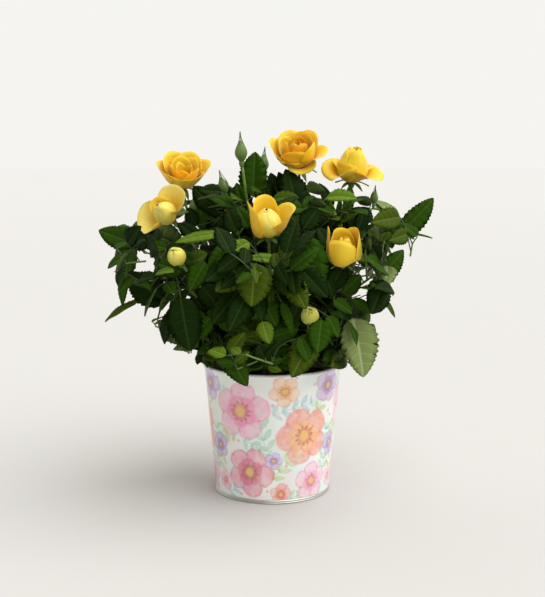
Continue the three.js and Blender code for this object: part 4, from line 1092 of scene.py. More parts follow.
def addLeafletMesh(shape, blade, tint, draw, template=fullLeaf):
    x, y = template["x"], template["y"]
    length, width = blade["length"], blade["width"]
    small = length / leaflet["length"]
    fold = leaflet["fold"] * width * (0.5 + 1.1 * draw())
    droop = leaflet["droopTip"] * length * (0.6 + 1.6 * draw())
    wave, phase, twist = (0.3 + 0.7 * draw()) * small, aboutOneTurn * draw(), (draw() - 0.5) * 0.5
    lopsided = 1 + (draw() - 0.5) * 0.1
    swell = np.where(template["swell"] > 0, template["swell"] * leafShape["swell"] * small, 0)
    swell = np.where(template["swell"] == -1, -leafShape["groove"] * small, swell)
    swell = np.where(template["swell"] == -3, -leafShape["bladeThickness"] - leafShape["groove"] * 1.6 * small, swell)
    spread = np.abs(y)
    z = (fold * spread + swell - droop * x ** 2.2 + droop * 0.9 * x * (1 - x)
         + wave * spread ** 2 * np.sin(9 * x + phase + 1.5 * np.sign(y)))
    across = y * width / 2 * np.where(y > 0, lopsided, 2 - lopsided)
    angle = twist * x
    across, z = across * np.cos(angle) - z * np.sin(angle), across * np.sin(angle) + z * np.cos(angle)
    # A blade rolls a little on its own stalk, to face out to the light.
    outward = blade["base"] * [1, 1, 0.12]
    face = blade["face"]
    if np.linalg.norm(outward) > 20:
        face = squareTo(mix(face, unit(outward), leafShape["turnOut"]), blade["direction"])
    side = np.cross(face, blade["direction"])
    points = (blade["base"] + np.outer(x * length, blade["direction"]) + np.outer(across, side)
              + np.outer(z, face))
    top = np.where(template["isVein"], veinOf[tint], tints.index(tint))
    shape.add(points, (template["faces"], top), (template["below"], underside))


leafPieces = {
    "leaves_low": [mass for mass in masses if mass["level"] == 0],
    "leaves_side_front": [mass for mass in masses if mass["level"] == 1 and mass["site"][1] < 0],
    "leaves_side_back": [mass for mass in masses if mass["level"] == 1 and mass["site"][1] > 0],
    "leaves_upper": [mass for mass in masses if mass["level"] == 2],
}
# How much of the foliage has each green
tintShares = [("deep", 0.4), ("mid", 0.33), ("olive", 0.13), ("fresh", 0.1), ("pale", 0.04)]


def drawTint(draw):
    share = draw()
    for tint, part in tintShares:
        share -= part
        if share < 0:
            return tint
    return tintShares[0][0]


twigShape = Shape()


def addLeafStalk(line):
    twigShape.add(*tube(line, np.linspace(twig["rachisRadius"], twig["rachisTip"], len(line)), 5, 1))


for name, group in leafPieces.items():
    shape = Shape()
    for mass in group:
        draw = seededRandom(seeds["leaf"] + mass["index"])
        plan = mass["plan"]
        stem = Spline(plan["stemLine"]).sampled(20)
        twigShape.add(*tube(stem, np.linspace(twig["stemRadius"], twig["tipRadius"], 20), 8))
        for line in plan["twigs"]:
            twigShape.add(*tube(Spline(line).sampled(10), np.linspace(twig["tipRadius"], twig["fineTip"], 10), 6))
        for leaf in plan["leaves"]:
            tint = leaf.get("tint", drawTint(draw))
            if leaf["curve"]:
                far = max(blade["at"] for blade in leaf["blades"])
                line = np.array([quadraticPoint(leaf["curve"], t) for t in np.linspace(0, far, 7)])
            else:
                line = Spline(leaf["line"]).sampled(9)
            addLeafStalk(line)
            for blade in leaf["blades"]:
                addLeafletMesh(shape, blade, tint, draw)
    makePiece(name, shape, leafMaterials, ["foliage_" + mass["name"] for mass in group])
# Leaves inside the bush: most take the deep green, a real leaf tint used here as painted shade for the dark middle
inner = Shape()
for mass in masses:
    draw = seededRandom(seeds["innerLeaf"] + mass["index"])
    for leaf in mass["inner"]:
        line = np.array([quadraticPoint(leaf["curve"], t) for t in np.linspace(0, 1, 6)])
        addLeafStalk(line)
        for blade in leaf["blades"]:
            addLeafletMesh(inner, blade, "deep" if draw() < 0.8 else "mid", draw, plainLeaf)
makePiece("leaves_inner", inner, leafMaterials, ["foliage_" + mass["name"] for mass in masses])
makePiece("twigs_and_leaf_stalks", twigShape, [stalkMaterial, skinMaterial("leaf_stalk_skin", stalkFinish["young"])],
          ["foliage_" + mass["name"] for mass in masses])

# Canes and base stem, with swollen joints, lengthways ridges and hooked prickles
caneShape = {"sides": 12, "rings": 34, "relief": 0.16, "reliefSize": 1.6, "joints": 4, "swelling": 0.3,
             "prickles": 3, "prickle": 3.2, "prickleRadii": np.array([1.15, 0.8, 0.5, 0.25, 0.05])}
stemShape = {"sides": 40, "relief": 0.8, "reliefSize": 4, "profile": np.array([  # radius and height
    (11, 0), (10.4, 2), (8.6, 5), (8, 8), (8.3, 11), (7.8, 15), (6.8, 19), (5, 21.6), (2.5, 22)])}


def roughen(points, centre, amount, size):
    moved = []
    for point, middle in zip(points, centre):
        outward = point - middle
        shift = amount * noise.noise(Vector(point * [1, 1, 0.4] / size))
        moved.append(point + outward / max(1e-6, np.linalg.norm(outward)) * shift)
    return np.array(moved)


def addPrickle(shape, foot, outward, back):
    size = caneShape["prickle"]
    line = bendPoints(foot - outward * 0.4, outward * size * 0.5, foot + outward * size + back * size * 0.45,
                      (outward + back) * size * 0.3, 4)
    shape.add(*tube(line, caneShape["prickleRadii"], 6, 2))


canes = Shape()
draw = seededRandom(seeds["cane"])
for mass in masses:
    sides = caneShape["sides"]
    curve = Spline(mass["cane"]["line"])
    line = curve.sampled(caneShape["rings"])
    share = np.linspace(0, 1, caneShape["rings"])
    radii = mix(*mass["cane"]["radii"], share)
    for joint in range(caneShape["joints"]):
        at = (joint + 0.6 + 0.3 * draw()) / caneShape["joints"]
        radii = radii + caneShape["swelling"] * np.exp(-((share - at) / 0.03) ** 2)
    points, (walls, _), (ends, _) = tube(line, radii, sides)
    points = roughen(points, np.vstack([np.repeat(line, sides, axis=0), line[:1], line[-1:]]),
                     caneShape["relief"], caneShape["reliefSize"])
    woody = 0.35 if mass["level"] else 0.6
    finish = np.where(np.repeat(share[:-1], sides) < woody, 0, 1)
    canes.add(points, (walls, finish), (ends, 0))
    for k in range(caneShape["prickles"]):
        at = 0.25 + 0.25 * k + 0.1 * draw()
        tangent = curve.tangent(at)
        outward = turned(squareTo(up if abs(tangent[2]) < 0.9 else np.array([1.0, 0, 0]), tangent), tangent,
                         aboutOneTurn * draw())
        radius = mix(*mass["cane"]["radii"], at)
        addPrickle(canes, curve.along(at) + outward * radius, outward, -tangent)
angles = ringAngles(stemShape["sides"])
knob = 1 + 0.07 * np.sin(3 * angles + 0.6) + 0.04 * np.sin(7 * angles)
rim = [np.stack([radius * knob * np.cos(angles), radius * knob * np.sin(angles),
                 np.full(len(angles), stemFoot + height)], 1) for radius, height in stemShape["profile"]]
stack = np.vstack([*rim, [[0, 0, stemFoot]], [[0, 0, stemFoot + baseStem["height"]]]])
walls, ends = ringFaces(len(rim), len(angles))
canes.add(roughen(stack, stack * [0, 0, 1], stemShape["relief"], stemShape["reliefSize"]), (walls, 0), (ends, 0))
makePiece("base_stem_and_canes", canes, barkMaterials,
          ["base_stem"] + ["cane_" + mass["name"] for mass in masses])

# Heads: rows of petals from the outside in. around is the petals' bearings or their number, rim and rise are shares
# of the head's radius and height, leave and arrive are how steeply a petal's middle starts and ends, and wrap is how
# its sides follow the ring they stand in.
def petalRow(around, rim, rise, leave, arrive, width, wrap=1.0, **traits):
    return {"around": around, "rim": rim, "rise": rise, "leave": leave, "arrive": arrive, "width": width,
            "wrap": wrap, **traits}


headRows = {
    "open": [
        petalRow([-18], 1.18, 0.55, 22, 10, 1.4),
        petalRow([168], 0.98, 0.9, 12, 72, 1.55, 0.95),
        petalRow([-78], 0.8, 0.12, 20, -50, 1.25, 1.3),
        petalRow([-132], 0.88, 0.5, 18, 32, 1.2, 1.1),
        petalRow([45, 108], 0.9, 0.86, 18, 66, 1.35),
        petalRow([-100, -22], 0.66, 0.78, 8, 94, 1.5, tint="golden"),
        petalRow([60, 150], 0.62, 0.9, 14, 88, 1.35, tint="golden"),
        petalRow([-60, 70, 190], 0.36, 0.86, 35, 100, 1.05, 0.95, tint="heart"),
        petalRow([0, 120, 240], 0.15, 0.82, 55, 112, 0.6, tint="heart"),
    ],
    "angular": [
        petalRow([-168, 20], 1.02, 0.74, 8, 60, 1.9, tint="golden", pointed=0.26, shoulder=0.26),
        petalRow([-118, -48], 0.88, 0.62, 6, 66, 1.8, 1.02, tint="lemon", pointed=0.06),
        petalRow([74, 136], 0.86, 0.82, 12, 66, 1.8, tint="golden", pointed=0.2, shoulder=0.24),
        petalRow([-150, -30, 50, 110], 0.6, 0.72, 16, 76, 1.5, tint="golden", pointed=0.4, shoulder=0.3),
        petalRow([-95, 25, 145], 0.32, 0.62, 30, 92, 1.2, tint="golden", pointed=0.4, shoulder=0.3),
        petalRow([-40, 80, 200], 0.06, 0.55, 50, 120, 0.6, tint="heart"),
    ],
    "splayed": [
        petalRow([26], 1.16, 0.5, 6, 40, 2.1, 0.9, tint="pale", shoulder=0.16),
        petalRow([174], 1.24, 0.4, 6, 30, 2.0, 0.9, tint="pale", shoulder=0.16),
        petalRow([112], 0.62, 0.62, 8, 66, 1.2, 0.9),
        petalRow([-95, 25, 145], 0.05, 0.74, 10, 158, 1.4, tint="pale", pull=0.54),
        petalRow([-30, 90, 210], 0.03, 0.72, 14, 158, 1.25, tint="pale", pull=0.52),
    ],
    "loose": [
        petalRow([-152], 1.12, 0.14, 24, -38, 2.0, 1.2),
        petalRow([-24], 1.2, 0.2, 22, -22, 1.8, 1.3),
        petalRow([60, 120], 0.9, 0.42, 25, 15, 1.4, 1.3),
        petalRow([164], 0.84, 0.56, 20, 34, 1.3, 1.1),
        petalRow([-132], 0.66, 0.66, 0, 84, 1.9, pull=0.52),
        petalRow([-60, 60, 170], 0.26, 0.98, 6, 128, 1.5, tint="lemon", pull=0.54),
        petalRow([-10, 110, 230], 0.14, 0.98, 18, 136, 1.2, tint="lemon", pull=0.52),
        petalRow([50, 170, 290], 0.03, 0.92, 30, 140, 0.9, tint="golden", pull=0.5),
    ],
    "half": [
        petalRow([8], 1.2, 0.7, -4, 54, 2.1, 0.88, tint="lemon", shoulder=0.16),
        petalRow([112], 0.6, 1.0, 6, 94, 1.7, 0.95, tint="golden", shoulder=0.16),
        petalRow([-162], 0.78, 0.9, -6, 88, 1.45, 0.95, pointed=0.3, pull=0.5),
        petalRow([-80, 40, 160], 0.05, 0.74, 4, 162, 1.5, tint="pale", pull=0.57),
        petalRow([-20, 100, 220], 0.03, 0.72, 8, 162, 1.35, tint="pale", pull=0.55),
    ],
    "cup": [
        petalRow([-112], 0.66, 0.68, -8, 108, 3.0, 1.04, tint="lemon", pull=0.62, shoulder=0.2),
        petalRow([28], 0.66, 0.9, -4, 106, 2.7, tint="lemon", pull=0.58, shoulder=0.18),
        petalRow([118], 0.6, 0.88, -2, 106, 2.4, tint="lemon", pull=0.56, shoulder=0.18),
        petalRow([-174], 0.9, 0.88, -2, 88, 0.9, 0.8, pointed=0.15, pull=0.5),
        petalRow([-60, 60, 180], 0.2, 0.7, 20, 122, 1.3, tint="lemon"),
        petalRow([0, 120, 240], 0.04, 0.64, 30, 135, 0.9, tint="heart"),
    ],
    "bud": [
        petalRow(4, 0.12, 0.98, -5, 178, 2.1, tint="budding", pull=0.62),
        petalRow(3, 0.1, 0.94, 0, 178, 1.9, tint="budding", pull=0.6),
    ],
    "green": [],
}
headRows["tight"] = [{**row, "tint": "greening"} for row in headRows["bud"]]
petalPlan = {"rose_top_left": "angular", "rose_left": "splayed", "bud_low_right": "tight"}
headTurns = {"rose_left": unit(np.array([-0.45, -0.7, 0.55]))}  # a head that nods off the line of its stalk
sepalRows = {
    "open": petalRow(5, 0.62, -0.22, -5, -50, 0.2, 3),
    "loose": petalRow(5, 0.72, -0.12, 10, -30, 0.2, 3),
    "half": petalRow(5, 0.7, -0.08, 0, -20, 0.2, 3),
    "cup": petalRow(5, 0.95, -0.04, 5, -15, 0.24, 3),
    "bud": petalRow(5, 0.98, 0.62, -8, 80, 0.62, 1.1),
    "tight": petalRow(5, 0.62, 0.96, -8, 118, 0.6, 1.06),
    "green": petalRow(5, 0.06, 1.4, 45, 92, 1.4, 1.02, pull=0.5, tail=0.34),
}
petalGrid = {"across": 11, "along": 11, "thickness": 0.3, "edge": 0.12}


def gridFaces(rows, columns):
    k, i = np.meshgrid(np.arange(rows - 1), np.arange(columns - 1), indexing="ij")
    a = (k * columns + i).ravel()
    return np.stack([a, a + 1, a + columns + 1, a + columns], 1)


# A thin closed sheet: its upper and lower faces stand a little apart and join along the edge.
def addSheet(shape, grid, thickness, upper, lower):
    rows, columns = grid.shape[:2]
    du, dv = np.gradient(grid, axis=1), np.gradient(grid, axis=0)
    normal = np.cross(du, dv)
    normal /= np.maximum(np.linalg.norm(normal, axis=2), 1e-9)[..., None]
    offset = normal * thickness[..., None] / 2
    faces = gridFaces(rows, columns)
    count = rows * columns
    index = np.arange(count).reshape(rows, columns)
    edge = np.concatenate([index[0, :-1], index[:-1, -1], index[-1, :0:-1], index[:0:-1, 0]])
    after = np.roll(edge, -1)
    rim = np.stack([edge, edge + count, after + count, after], 1)
    u, v = np.meshgrid(np.linspace(0, 1, columns), np.linspace(0, 1, rows))
    places = np.stack([u, v], 2).reshape(-1, 2)
    shape.add(np.vstack([(grid + offset).reshape(-1, 3), (grid - offset).reshape(-1, 3)]),
              (faces, upper), (faces[:, ::-1] + count, lower), (rim, lower), places=np.vstack([places, places]))


def petalPoints(row, radius, height, foot, draw):
    across, along, pointed = petalGrid["across"], petalGrid["along"], row.get("pointed", 0)
    u = np.linspace(-1, 1, across)[None, :]
    v = np.linspace(0, 1, along)[:, None]
    uneven = draw() - 0.5
    rimRadius = radius * row["rim"] * (1 + 0.06 * (draw() - 0.5))
    rise = height * row["rise"] * (1 + 0.08 * (draw() - 0.5))
    leave = (row["leave"] + 8 * (draw() - 0.5)) * degrees
    arrive = (row["arrive"] + 16 * (draw() - 0.5)) * degrees
    far = math.hypot(rimRadius - foot, rise)
    pull = far * row.get("pull", 0.42)
    a = np.array([foot, 0.0])
    d = np.array([rimRadius, rise])
    b = a + pull * np.array([math.cos(leave), math.sin(leave)])
    c = d - pull * np.array([math.cos(arrive), math.sin(arrive)])
    t = v * (1 - row.get("shoulder", 0.22) * np.abs(u) ** 2.6 + pointed * (1 - np.abs(u)) ** 1.4 * 0.3)
    curve = [a[n] * (1 - t) ** 3 + 3 * b[n] * t * (1 - t) ** 2 + 3 * c[n] * t ** 2 * (1 - t) + d[n] * t ** 3
             for n in (0, 1)]
    slope = [3 * (b[n] - a[n]) * (1 - t) ** 2 + 6 * (c[n] - b[n]) * t * (1 - t) + 3 * (d[n] - c[n]) * t ** 2
             for n in (0, 1)]
    steep = np.hypot(*slope)
    inwardR, inwardZ = -slope[1] / steep, slope[0] / steep
    if row.get("taper"):
        body = np.clip(v / (1 - row.get("tail", 0)), 0, 1)  # a tail is a long thin tip
        width = np.sin(np.pi * np.clip(0.12 + 0.88 * body, 0, 1)) ** 0.8 * (1 - v) ** 0.2 + 0.05
    else:
        width = 0.2 + 0.8 * np.sin(np.minimum(1, v / 0.62) * math.pi / 2) ** 1.2
        width = width * (1 - 0.16 * np.clip((v - 0.62) / 0.38, 0, 1) ** 2)
    s = u * width * radius * row["width"] / 2
    bend = np.maximum(np.abs(curve[0]), 0.14 * radius) * row["wrap"]
    angle = np.clip(s / bend, -2.2, 2.2)
    lateral, inward = bend * np.sin(angle), bend * (1 - np.cos(angle))
    phase = aboutOneTurn * draw()
    ripple = row.get("ripple", 0.035) * radius * v ** 2 * (
        0.6 * np.sin(2.6 * u + phase) + 0.4 * np.sin(6.5 * u + 2 * phase))
    roll = -0.05 * radius * row.get("roll", 1) * np.clip((np.abs(u) - 0.55) / 0.45, 0, 1) ** 2 * v ** 2
    inward = inward + ripple + roll
    radial = curve[0] + inwardR * inward
    return np.stack([radial + 0 * u, lateral + uneven * 0.03 * radius * v, curve[1] + inwardZ * inward], 2)


def turnedTo(axis):
    return np.array(Vector((0, 0, 1)).rotation_difference(Vector(axis)).to_matrix())


def addPetals(shape, row, radius, height, foot, place, draw, upper, lower, start, thick=1.0):
    across, along = petalGrid["across"], petalGrid["along"]
    u, v = np.meshgrid(np.linspace(-1, 1, across), np.linspace(0, 1, along))
    thickness = petalGrid["edge"] + (petalGrid["thickness"] - petalGrid["edge"]) * (
        (1 - np.abs(u) ** 6) * (1 - v ** 8))
    bearings = row["around"]
    if isinstance(bearings, int):
        bearings = [start + 360 * i / bearings + 14 * (draw() - 0.5) for i in range(bearings)]
    for bearing in bearings:
        grid = petalPoints(row, radius, height, foot, draw)
        cos, sin = math.cos(bearing * degrees), math.sin(bearing * degrees)
        spin = np.array([[cos, -sin, 0], [sin, cos, 0], [0, 0, 1]])
        addSheet(shape, place(grid @ spin.T), thickness * thick, upper, lower)


def addHead(shape, rose, draw):
    axis, top = headTurns.get(rose["name"], rose["faces"]), rose["stalk"]["line"][-1]
    turn = turnedTo(axis)
    radius, height, kind = rose["radius"], rose["height"], rose["kind"]
    plan = petalPlan.get(rose["name"], kind)
    spin = 180 if "behind" in rose["name"] else 0

    def place(points):
        return points @ turn.T + top

    foot = min(1.6, radius * 0.2)
    for k, row in enumerate(headRows[plan]):
        name = row.get("tint", "lemon")
        outer = petalTints.index({"heart": "golden", "golden": "lemon"}.get(name, name))
        if isinstance(row["around"], list):
            row = {**row, "around": [bearing + spin for bearing in row["around"]]}
        addPetals(shape, row, radius, height, foot * (1 - 0.08 * k), place, draw, petalTints.index(name), outer,
                  25 + 37 * k)
    green = sepalFinishIndex
    sepal = {**sepalRows.get(plan, sepalRows[kind]), "taper": True, "shoulder": 0, "ripple": 0.03, "roll": 0}
    addPetals(shape, sepal, radius, height, min(1.8, radius * 0.3), place, draw, green, green, 10, 1.6)
    # The hip under the petals, and the stalk up to it.
    hip = min(3.0, radius * 0.42)
    urn = np.array([[0.55, -5.5], [0.8, -4.4], [1.0, -2.6], [0.95, -1.2], [0.75, 0.2], [0.4, 1.2]]) * [hip, 1]
    shape.add(*tube(place(np.array([[0, 0, z] for _, z in urn])), urn[:, 0], 12, green))
    if kind == "green":
        body = np.array([[0.3, -1], [0.75, height * 0.12], [0.95, height * 0.3], [0.85, height * 0.55],
                         [0.5, height * 0.8], [0.15, height * 1.0]]) * [radius, 1]
        line = Spline(place(np.array([[0, 0, z] for _, z in body]))).sampled(12)
        radii = np.interp(np.linspace(0, 1, 12), np.linspace(0, 1, 6), body[:, 0])
        shape.add(*tube(line, radii, 14, green))
    stem = Spline(rose["stalk"]["line"]).sampled(26)
    stem = stem[:-1] if kind == "green" else stem
    shape.add(*tube(stem, np.linspace(*rose["stalk"]["radii"], len(stem)), 9, stalkFinishIndex))


# A head's mesh has a map of where on its petal each corner lies, so green parts get a plain one.
class HeadShape(Shape):
    def add(self, points, *groups, places=None):
        if places is None:
            places = np.zeros((len(points), 2))
        super().add(points, *groups, places=places)


for number, rose in enumerate(roses):
    shape = HeadShape()
    addHead(shape, rose, seededRandom(seeds["head"] + 13 * number))
    makePiece(rose["name"] + "_bloom", shape, roseMaterials, [rose["name"]], mapName="petal")

# Peat: crumbs of dark fibre, wet between them. Its many small faces scatter what little light gets in.
peatShape = {"rings": 26, "sides": 96, "edge": 3, "relief": 1.1, "lumps": (4, 1.7), "crumbs": 420,
             "crumb": (0.8, 2.2)}  # mm
peatFinish = {"colours": ("#120c08", "#2a1d14", "#4c3828"), "stops": (0.3, 0.5, 0.72), "roughness": 0.95,
              "crumb": 1.4, "relief": 0.6, "reliefStrength": 0.9}
peatMaterial = newMaterial("damp_peat_crumb", peatFinish["colours"][1], peatFinish["roughness"])
crumbNoise = addNoise(peatMaterial, solidPlace(peatMaterial), peatFinish["crumb"], 4).outputs["Fac"]
ramp = addNode(peatMaterial, "ValToRGB", {0: crumbNoise})
linkTo(peatMaterial, "Base Color", setStops(ramp, zip(peatFinish["stops"], peatFinish["colours"])))
addRelief(peatMaterial, crumbNoise, peatFinish["reliefStrength"], peatFinish["relief"])


def insideAt(height):
    return (potRadiusAt(height) - pot["wall"]) - peat["clear"]


def moundAt(radius):
    share = radius / insideAt(peat["top"])
    return peat["top"] + peat["mound"] * (1 - smoothStep(share, 0.25, 1))


soil = Shape()
bottom, edge, top = pot["floor"] + gap, peat["top"] - peatShape["edge"], peat["top"] + peat["mound"]
levels = [(insideAt(bottom), bottom), (insideAt(edge), edge)]
levels += [(insideAt(peat["top"]) * (1 - k / peatShape["rings"]), None) for k in range(peatShape["rings"])]
coarse, fine = peatShape["lumps"]
ringPoints = []
for radius, height in levels:
    for angle in ringAngles(peatShape["sides"]):
        x, y = radius * math.cos(angle), radius * math.sin(angle)
        z = height
        if height is None:
            z = moundAt(radius)
            z = z + peatShape["relief"] * noise.noise(Vector((x / coarse, y / coarse, 0.5))) * min(1, radius / 8)
            z += 0.5 * peatShape["relief"] * noise.noise(Vector((x / fine, y / fine, 3)))
            z = min(z, top) if radius < baseStem["foot"] + 2 else z
        ringPoints.append((x, y, z))
walls, ends = ringFaces(len(levels), peatShape["sides"])
soil.add([*ringPoints, (0, 0, bottom), (0, 0, top)], (walls, 0), (ends, 0))
draw = seededRandom(seeds["crumb"])
octahedron = np.array([(1, 0, 0), (-1, 0, 0), (0, 1, 0), (0, -1, 0), (0, 0, 1), (0, 0, -1)], float)
octahedronFaces = [(0, 2, 4), (2, 1, 4), (1, 3, 4), (3, 0, 4), (2, 0, 5), (1, 2, 5), (3, 1, 5), (0, 3, 5)]
for _ in range(peatShape["crumbs"]):
    angle = aboutOneTurn * draw()
    radius = (insideAt(peat["top"]) - peatShape["edge"]) * math.sqrt(0.06 + 0.94 * draw())
    size = mix(*peatShape["crumb"], draw() ** 2)
    centre = np.array([radius * math.cos(angle), radius * math.sin(angle), moundAt(radius) + size * 0.1])
    squash = np.array([0.7 + 0.6 * draw(), 0.7 + 0.6 * draw(), 0.5 + 0.4 * draw()])
    soil.add(centre + octahedron * size * squash, (octahedronFaces, 0))
makePiece("peat_surface", soil, [peatMaterial], ["peat"])

# Pot: printed tinplate, rolled at the rim and crimped to its base, with a lock seam down the back
potFinish = {
    "lacquer": "#f0f3ee", "roughness": 0.38, "coat": 0.2,
    "tileWidth": 113, "tileHeight": 105, "repeats": 3,  # mm
    "tin": "#c9cac2", "tinRoughness": 0.3, "dulled": (0.28, 0.5), "rolled": (1, 1, 6), "scuff": 2.5,
    "relief": 0.1, "reliefStrength": 0.3,
    "sides": 224, "seamRise": 0.45, "seamEdge": (1.6, 3.0), "seamSpan": (4, 106),  # mm
}
tinMaterial = newMaterial("bare_tinplate", potFinish["tin"], potFinish["tinRoughness"], {"Metallic": 1.0})
rolled = addNode(tinMaterial, "Mapping", {"Vector": solidPlace(tinMaterial), "Scale": potFinish["rolled"]})
scuffs = addNoise(tinMaterial, rolled.outputs[0], potFinish["scuff"], 4).outputs["Fac"]
addRelief(tinMaterial, scuffs, potFinish["reliefStrength"], potFinish["relief"])
linkTo(tinMaterial, "Roughness", ranged(tinMaterial, scuffs, 0, 1, *potFinish["dulled"]))
lacquerMaterial = newMaterial("printed_lacquer", potFinish["lacquer"], potFinish["roughness"],
                              {"Coat Weight": potFinish["coat"]})

# The print: blossoms, sprigs and berries in washy colours, a tile that repeats three times round the wall.
# Places, sizes and turns are in mm and degrees on that tile.
printDesign = {
    "washes": [("#dfeceb", 34, 0.45), ("#f8dfe6", 27, 0.55), ("#e3efdc", 22, 0.58)],  # colour, size, where it starts
    "edgeWander": (1.1, 8.0), "pigment": (9.0, 2.6),
    "sprigs": [  # x, y, turn, length, leaf, colours
        (52, 46, 104, 44, 13, "#b9dcc4", "#86bd9c"), (56, 78, 14, 36, 11, "#bcd8e0", "#8ab6c8"),
        (8, 66, 262, 42, 12, "#cbd9a4", "#9ab86c"), (56, 22, 46, 34, 12, "#c3d79a", "#8fb05f"),
        (108, 26, 84, 40, 11, "#b4dccb", "#7dbba0"), (12, 6, 28, 32, 10, "#bcd8e0", "#98bfcc"),
        (72, 4, 16, 36, 10, "#b9dcc4", "#8abd9b"), (16, 92, 150, 26, 9, "#c7d6e8", "#9fb7d6"),
        (96, 78, 58, 30, 11, "#cbd9a4", "#a2ba76"), (32, 55, 330, 26, 10, "#b4dccb", "#82bda3"),
        (24, 60, 200, 28, 10, "#c3d79a", "#9cb972"), (100, 46, 20, 26, 10, "#bcd8e0", "#93bccb"),
    ],
    "blossoms": [  # x, y, size, turn, inner, middle, rim, deep
        (30, 79, 50, 10, "#f19dbe", "#f6c0d6", "#f19fc3", "#d0608f"),
        (84, 58, 50, 40, "#f3bb88", "#f2a38e", "#ee8d88", "#d25a62"),
        (36, 27, 44, 62, "#df7f98", "#eda6b8", "#d86f90", "#ad3f68"),
        (94, 17, 34, 20, "#f2b0ca", "#f6cbdc", "#ee98bd", "#ca6494"),
        (107, 98, 30, 5, "#c39fd2", "#dac1e4", "#b28fc8", "#8560a4"),
        (66, 97, 25, 50, "#f6c094", "#f8d4b6", "#f1aa8c", "#d87e5c"),
        (4, 46, 22, 30, "#b795cf", "#d0bae1", "#a684c6", "#7c5ba0"),
        (64, 8, 20, 15, "#ef9790", "#f5bab0", "#e88381", "#c8545c"),
        (58, 38, 15, 70, "#bfa0d8", "#d4c0e6", "#a98cca", "#8062a6"),
        (8, 16, 18, 0, "#f3a9c4", "#f8c9da", "#ec91b6", "#c85c8c"),
    ],
    "eye": "#f2cf7a", "stamen": "#c98a3c", "stamens": 11,
    "berries": (15, "#d9798c", 1.6),  # mm apart, colour, radius in mm
}


# Places along and across a motif, in plain numbers: these keep the shader's working store small.
def onMotif(material, place, x, y, turn):
    half = potFinish["tileWidth"] / 2
    aside = maths(material, "WRAP", maths(material, "SUBTRACT", place[0], x), half, -half)
    return turnedPair(material, aside, maths(material, "SUBTRACT", place[1], y), turn)


def turnedPair(material, x, y, turn):
    cos, sin = math.cos(turn * degrees), math.sin(turn * degrees)
    along = maths(material, "MULTIPLY_ADD", y, sin, maths(material, "MULTIPLY", x, cos))
    across = maths(material, "MULTIPLY_ADD", y, cos, maths(material, "MULTIPLY", x, -sin))
    return along, across


def paintOver(material, under, colour, amount):
    return addNode(material, "Mix", {0: amount, 6: under, 7: colour}, data_type="RGBA").outputs[2]


# Pairs of leaves that slant off a stem, darker at its end of each leaf. Bare numbers are mm.
def paintSprig(material, place, pigment, under, sprig):
    x, y, turn, length, leaf, light, dark = sprig
    along, aside = onMotif(material, place, x, y, turn)
    across = maths(material, "ABSOLUTE", aside)
    step = maths(material, "MODULO", along, leaf * 0.74)
    onLeaf, offLeaf = turnedPair(material, step, across, 44)
    phase = maths(material, "MULTIPLY", onLeaf, math.pi / leaf)
    swell = maths(material, "SINE", phase)
    off = maths(material, "ABSOLUTE", offLeaf)
    inside = maths(material, "MULTIPLY_ADD", swell, leaf * 0.21, -0.1)
    blade = softRanged(material, maths(material, "SUBTRACT", inside, off), -0.2, 0.25)
    stem = softRanged(material, across, 0.55, 0.25)
    both = maths(material, "MAXIMUM", blade, stem)
    start = ranged(material, along, 0, 0.6)
    end = ranged(material, along, length, length - 0.6)
    amount = maths(material, "MULTIPLY", both, maths(material, "MULTIPLY", start, end))
    thinned = maths(material, "MULTIPLY", amount, pigment)
    colour = setStops(addNode(material, "ValToRGB", {0: phase}), [(0.0, dark), (0.9, light)])
    return paintOver(material, under, colour, thinned)


# Five round petals whose pigment gathers at their edges and in the folds between them.
def paintPetalRing(material, halfAngle, radius, size, pigment, under, colours):
    deep, inner, middle, rim = colours
    lobe = maths(material, "ABSOLUTE", maths(material, "COSINE", halfAngle))
    edge = maths(material, "MULTIPLY_ADD", maths(material, "POWER", lobe, 0.5), size * 0.15, size * 0.35)
    share = maths(material, "DIVIDE", radius, edge)
    colour = setStops(addNode(material, "ValToRGB", {0: share}),
                      [(0.12, deep), (0.34, inner), (0.6, middle), (0.88, middle), (1.0, rim)])
    colour = paintOver(material, colour, linear(deep), softRanged(material, lobe, 0.42, 0.0, 0, 0.6))
    amount = softRanged(material, share, 1.05, 0.95)
    return paintOver(material, under, colour, maths(material, "MULTIPLY", amount, pigment))


def paintBlossom(material, place, pigment, under, blossom):
    x, y, size, turn, inner, middle, rim, deep = blossom
    along, across = onMotif(material, place, x, y, turn)
    square = maths(material, "MULTIPLY_ADD", across, across, maths(material, "MULTIPLY", along, along))
    radius = maths(material, "SQRT", square)
    angle = maths(material, "ARCTAN2", across, along)
    half = maths(material, "MULTIPLY", angle, 2.5)
    under = paintPetalRing(material, half, radius, size, pigment, under, (deep, inner, middle, rim))
    turnedHalf = maths(material, "ADD", half, math.pi / 2)
    under = paintPetalRing(material, turnedHalf, radius, size * 0.6, pigment, under, (deep, deep, inner, middle))
    # Stamens: a ring of ochre dots on a yellow eye.
    eye = ranged(material, radius, size * 0.12, size * 0.07, 0, 0.8)
    under = paintOver(material, under, linear(printDesign["eye"]), eye)
    beat = maths(material, "COSINE", maths(material, "MULTIPLY", angle, printDesign["stamens"]))
    dot = ranged(material, beat, 0.1, 0.7)
    off = maths(material, "ABSOLUTE", maths(material, "SUBTRACT", radius, size * 0.15))
    speck = maths(material, "MULTIPLY", dot, ranged(material, off, size * 0.035, size * 0.01))
    return paintOver(material, under, linear(printDesign["stamen"]), speck)


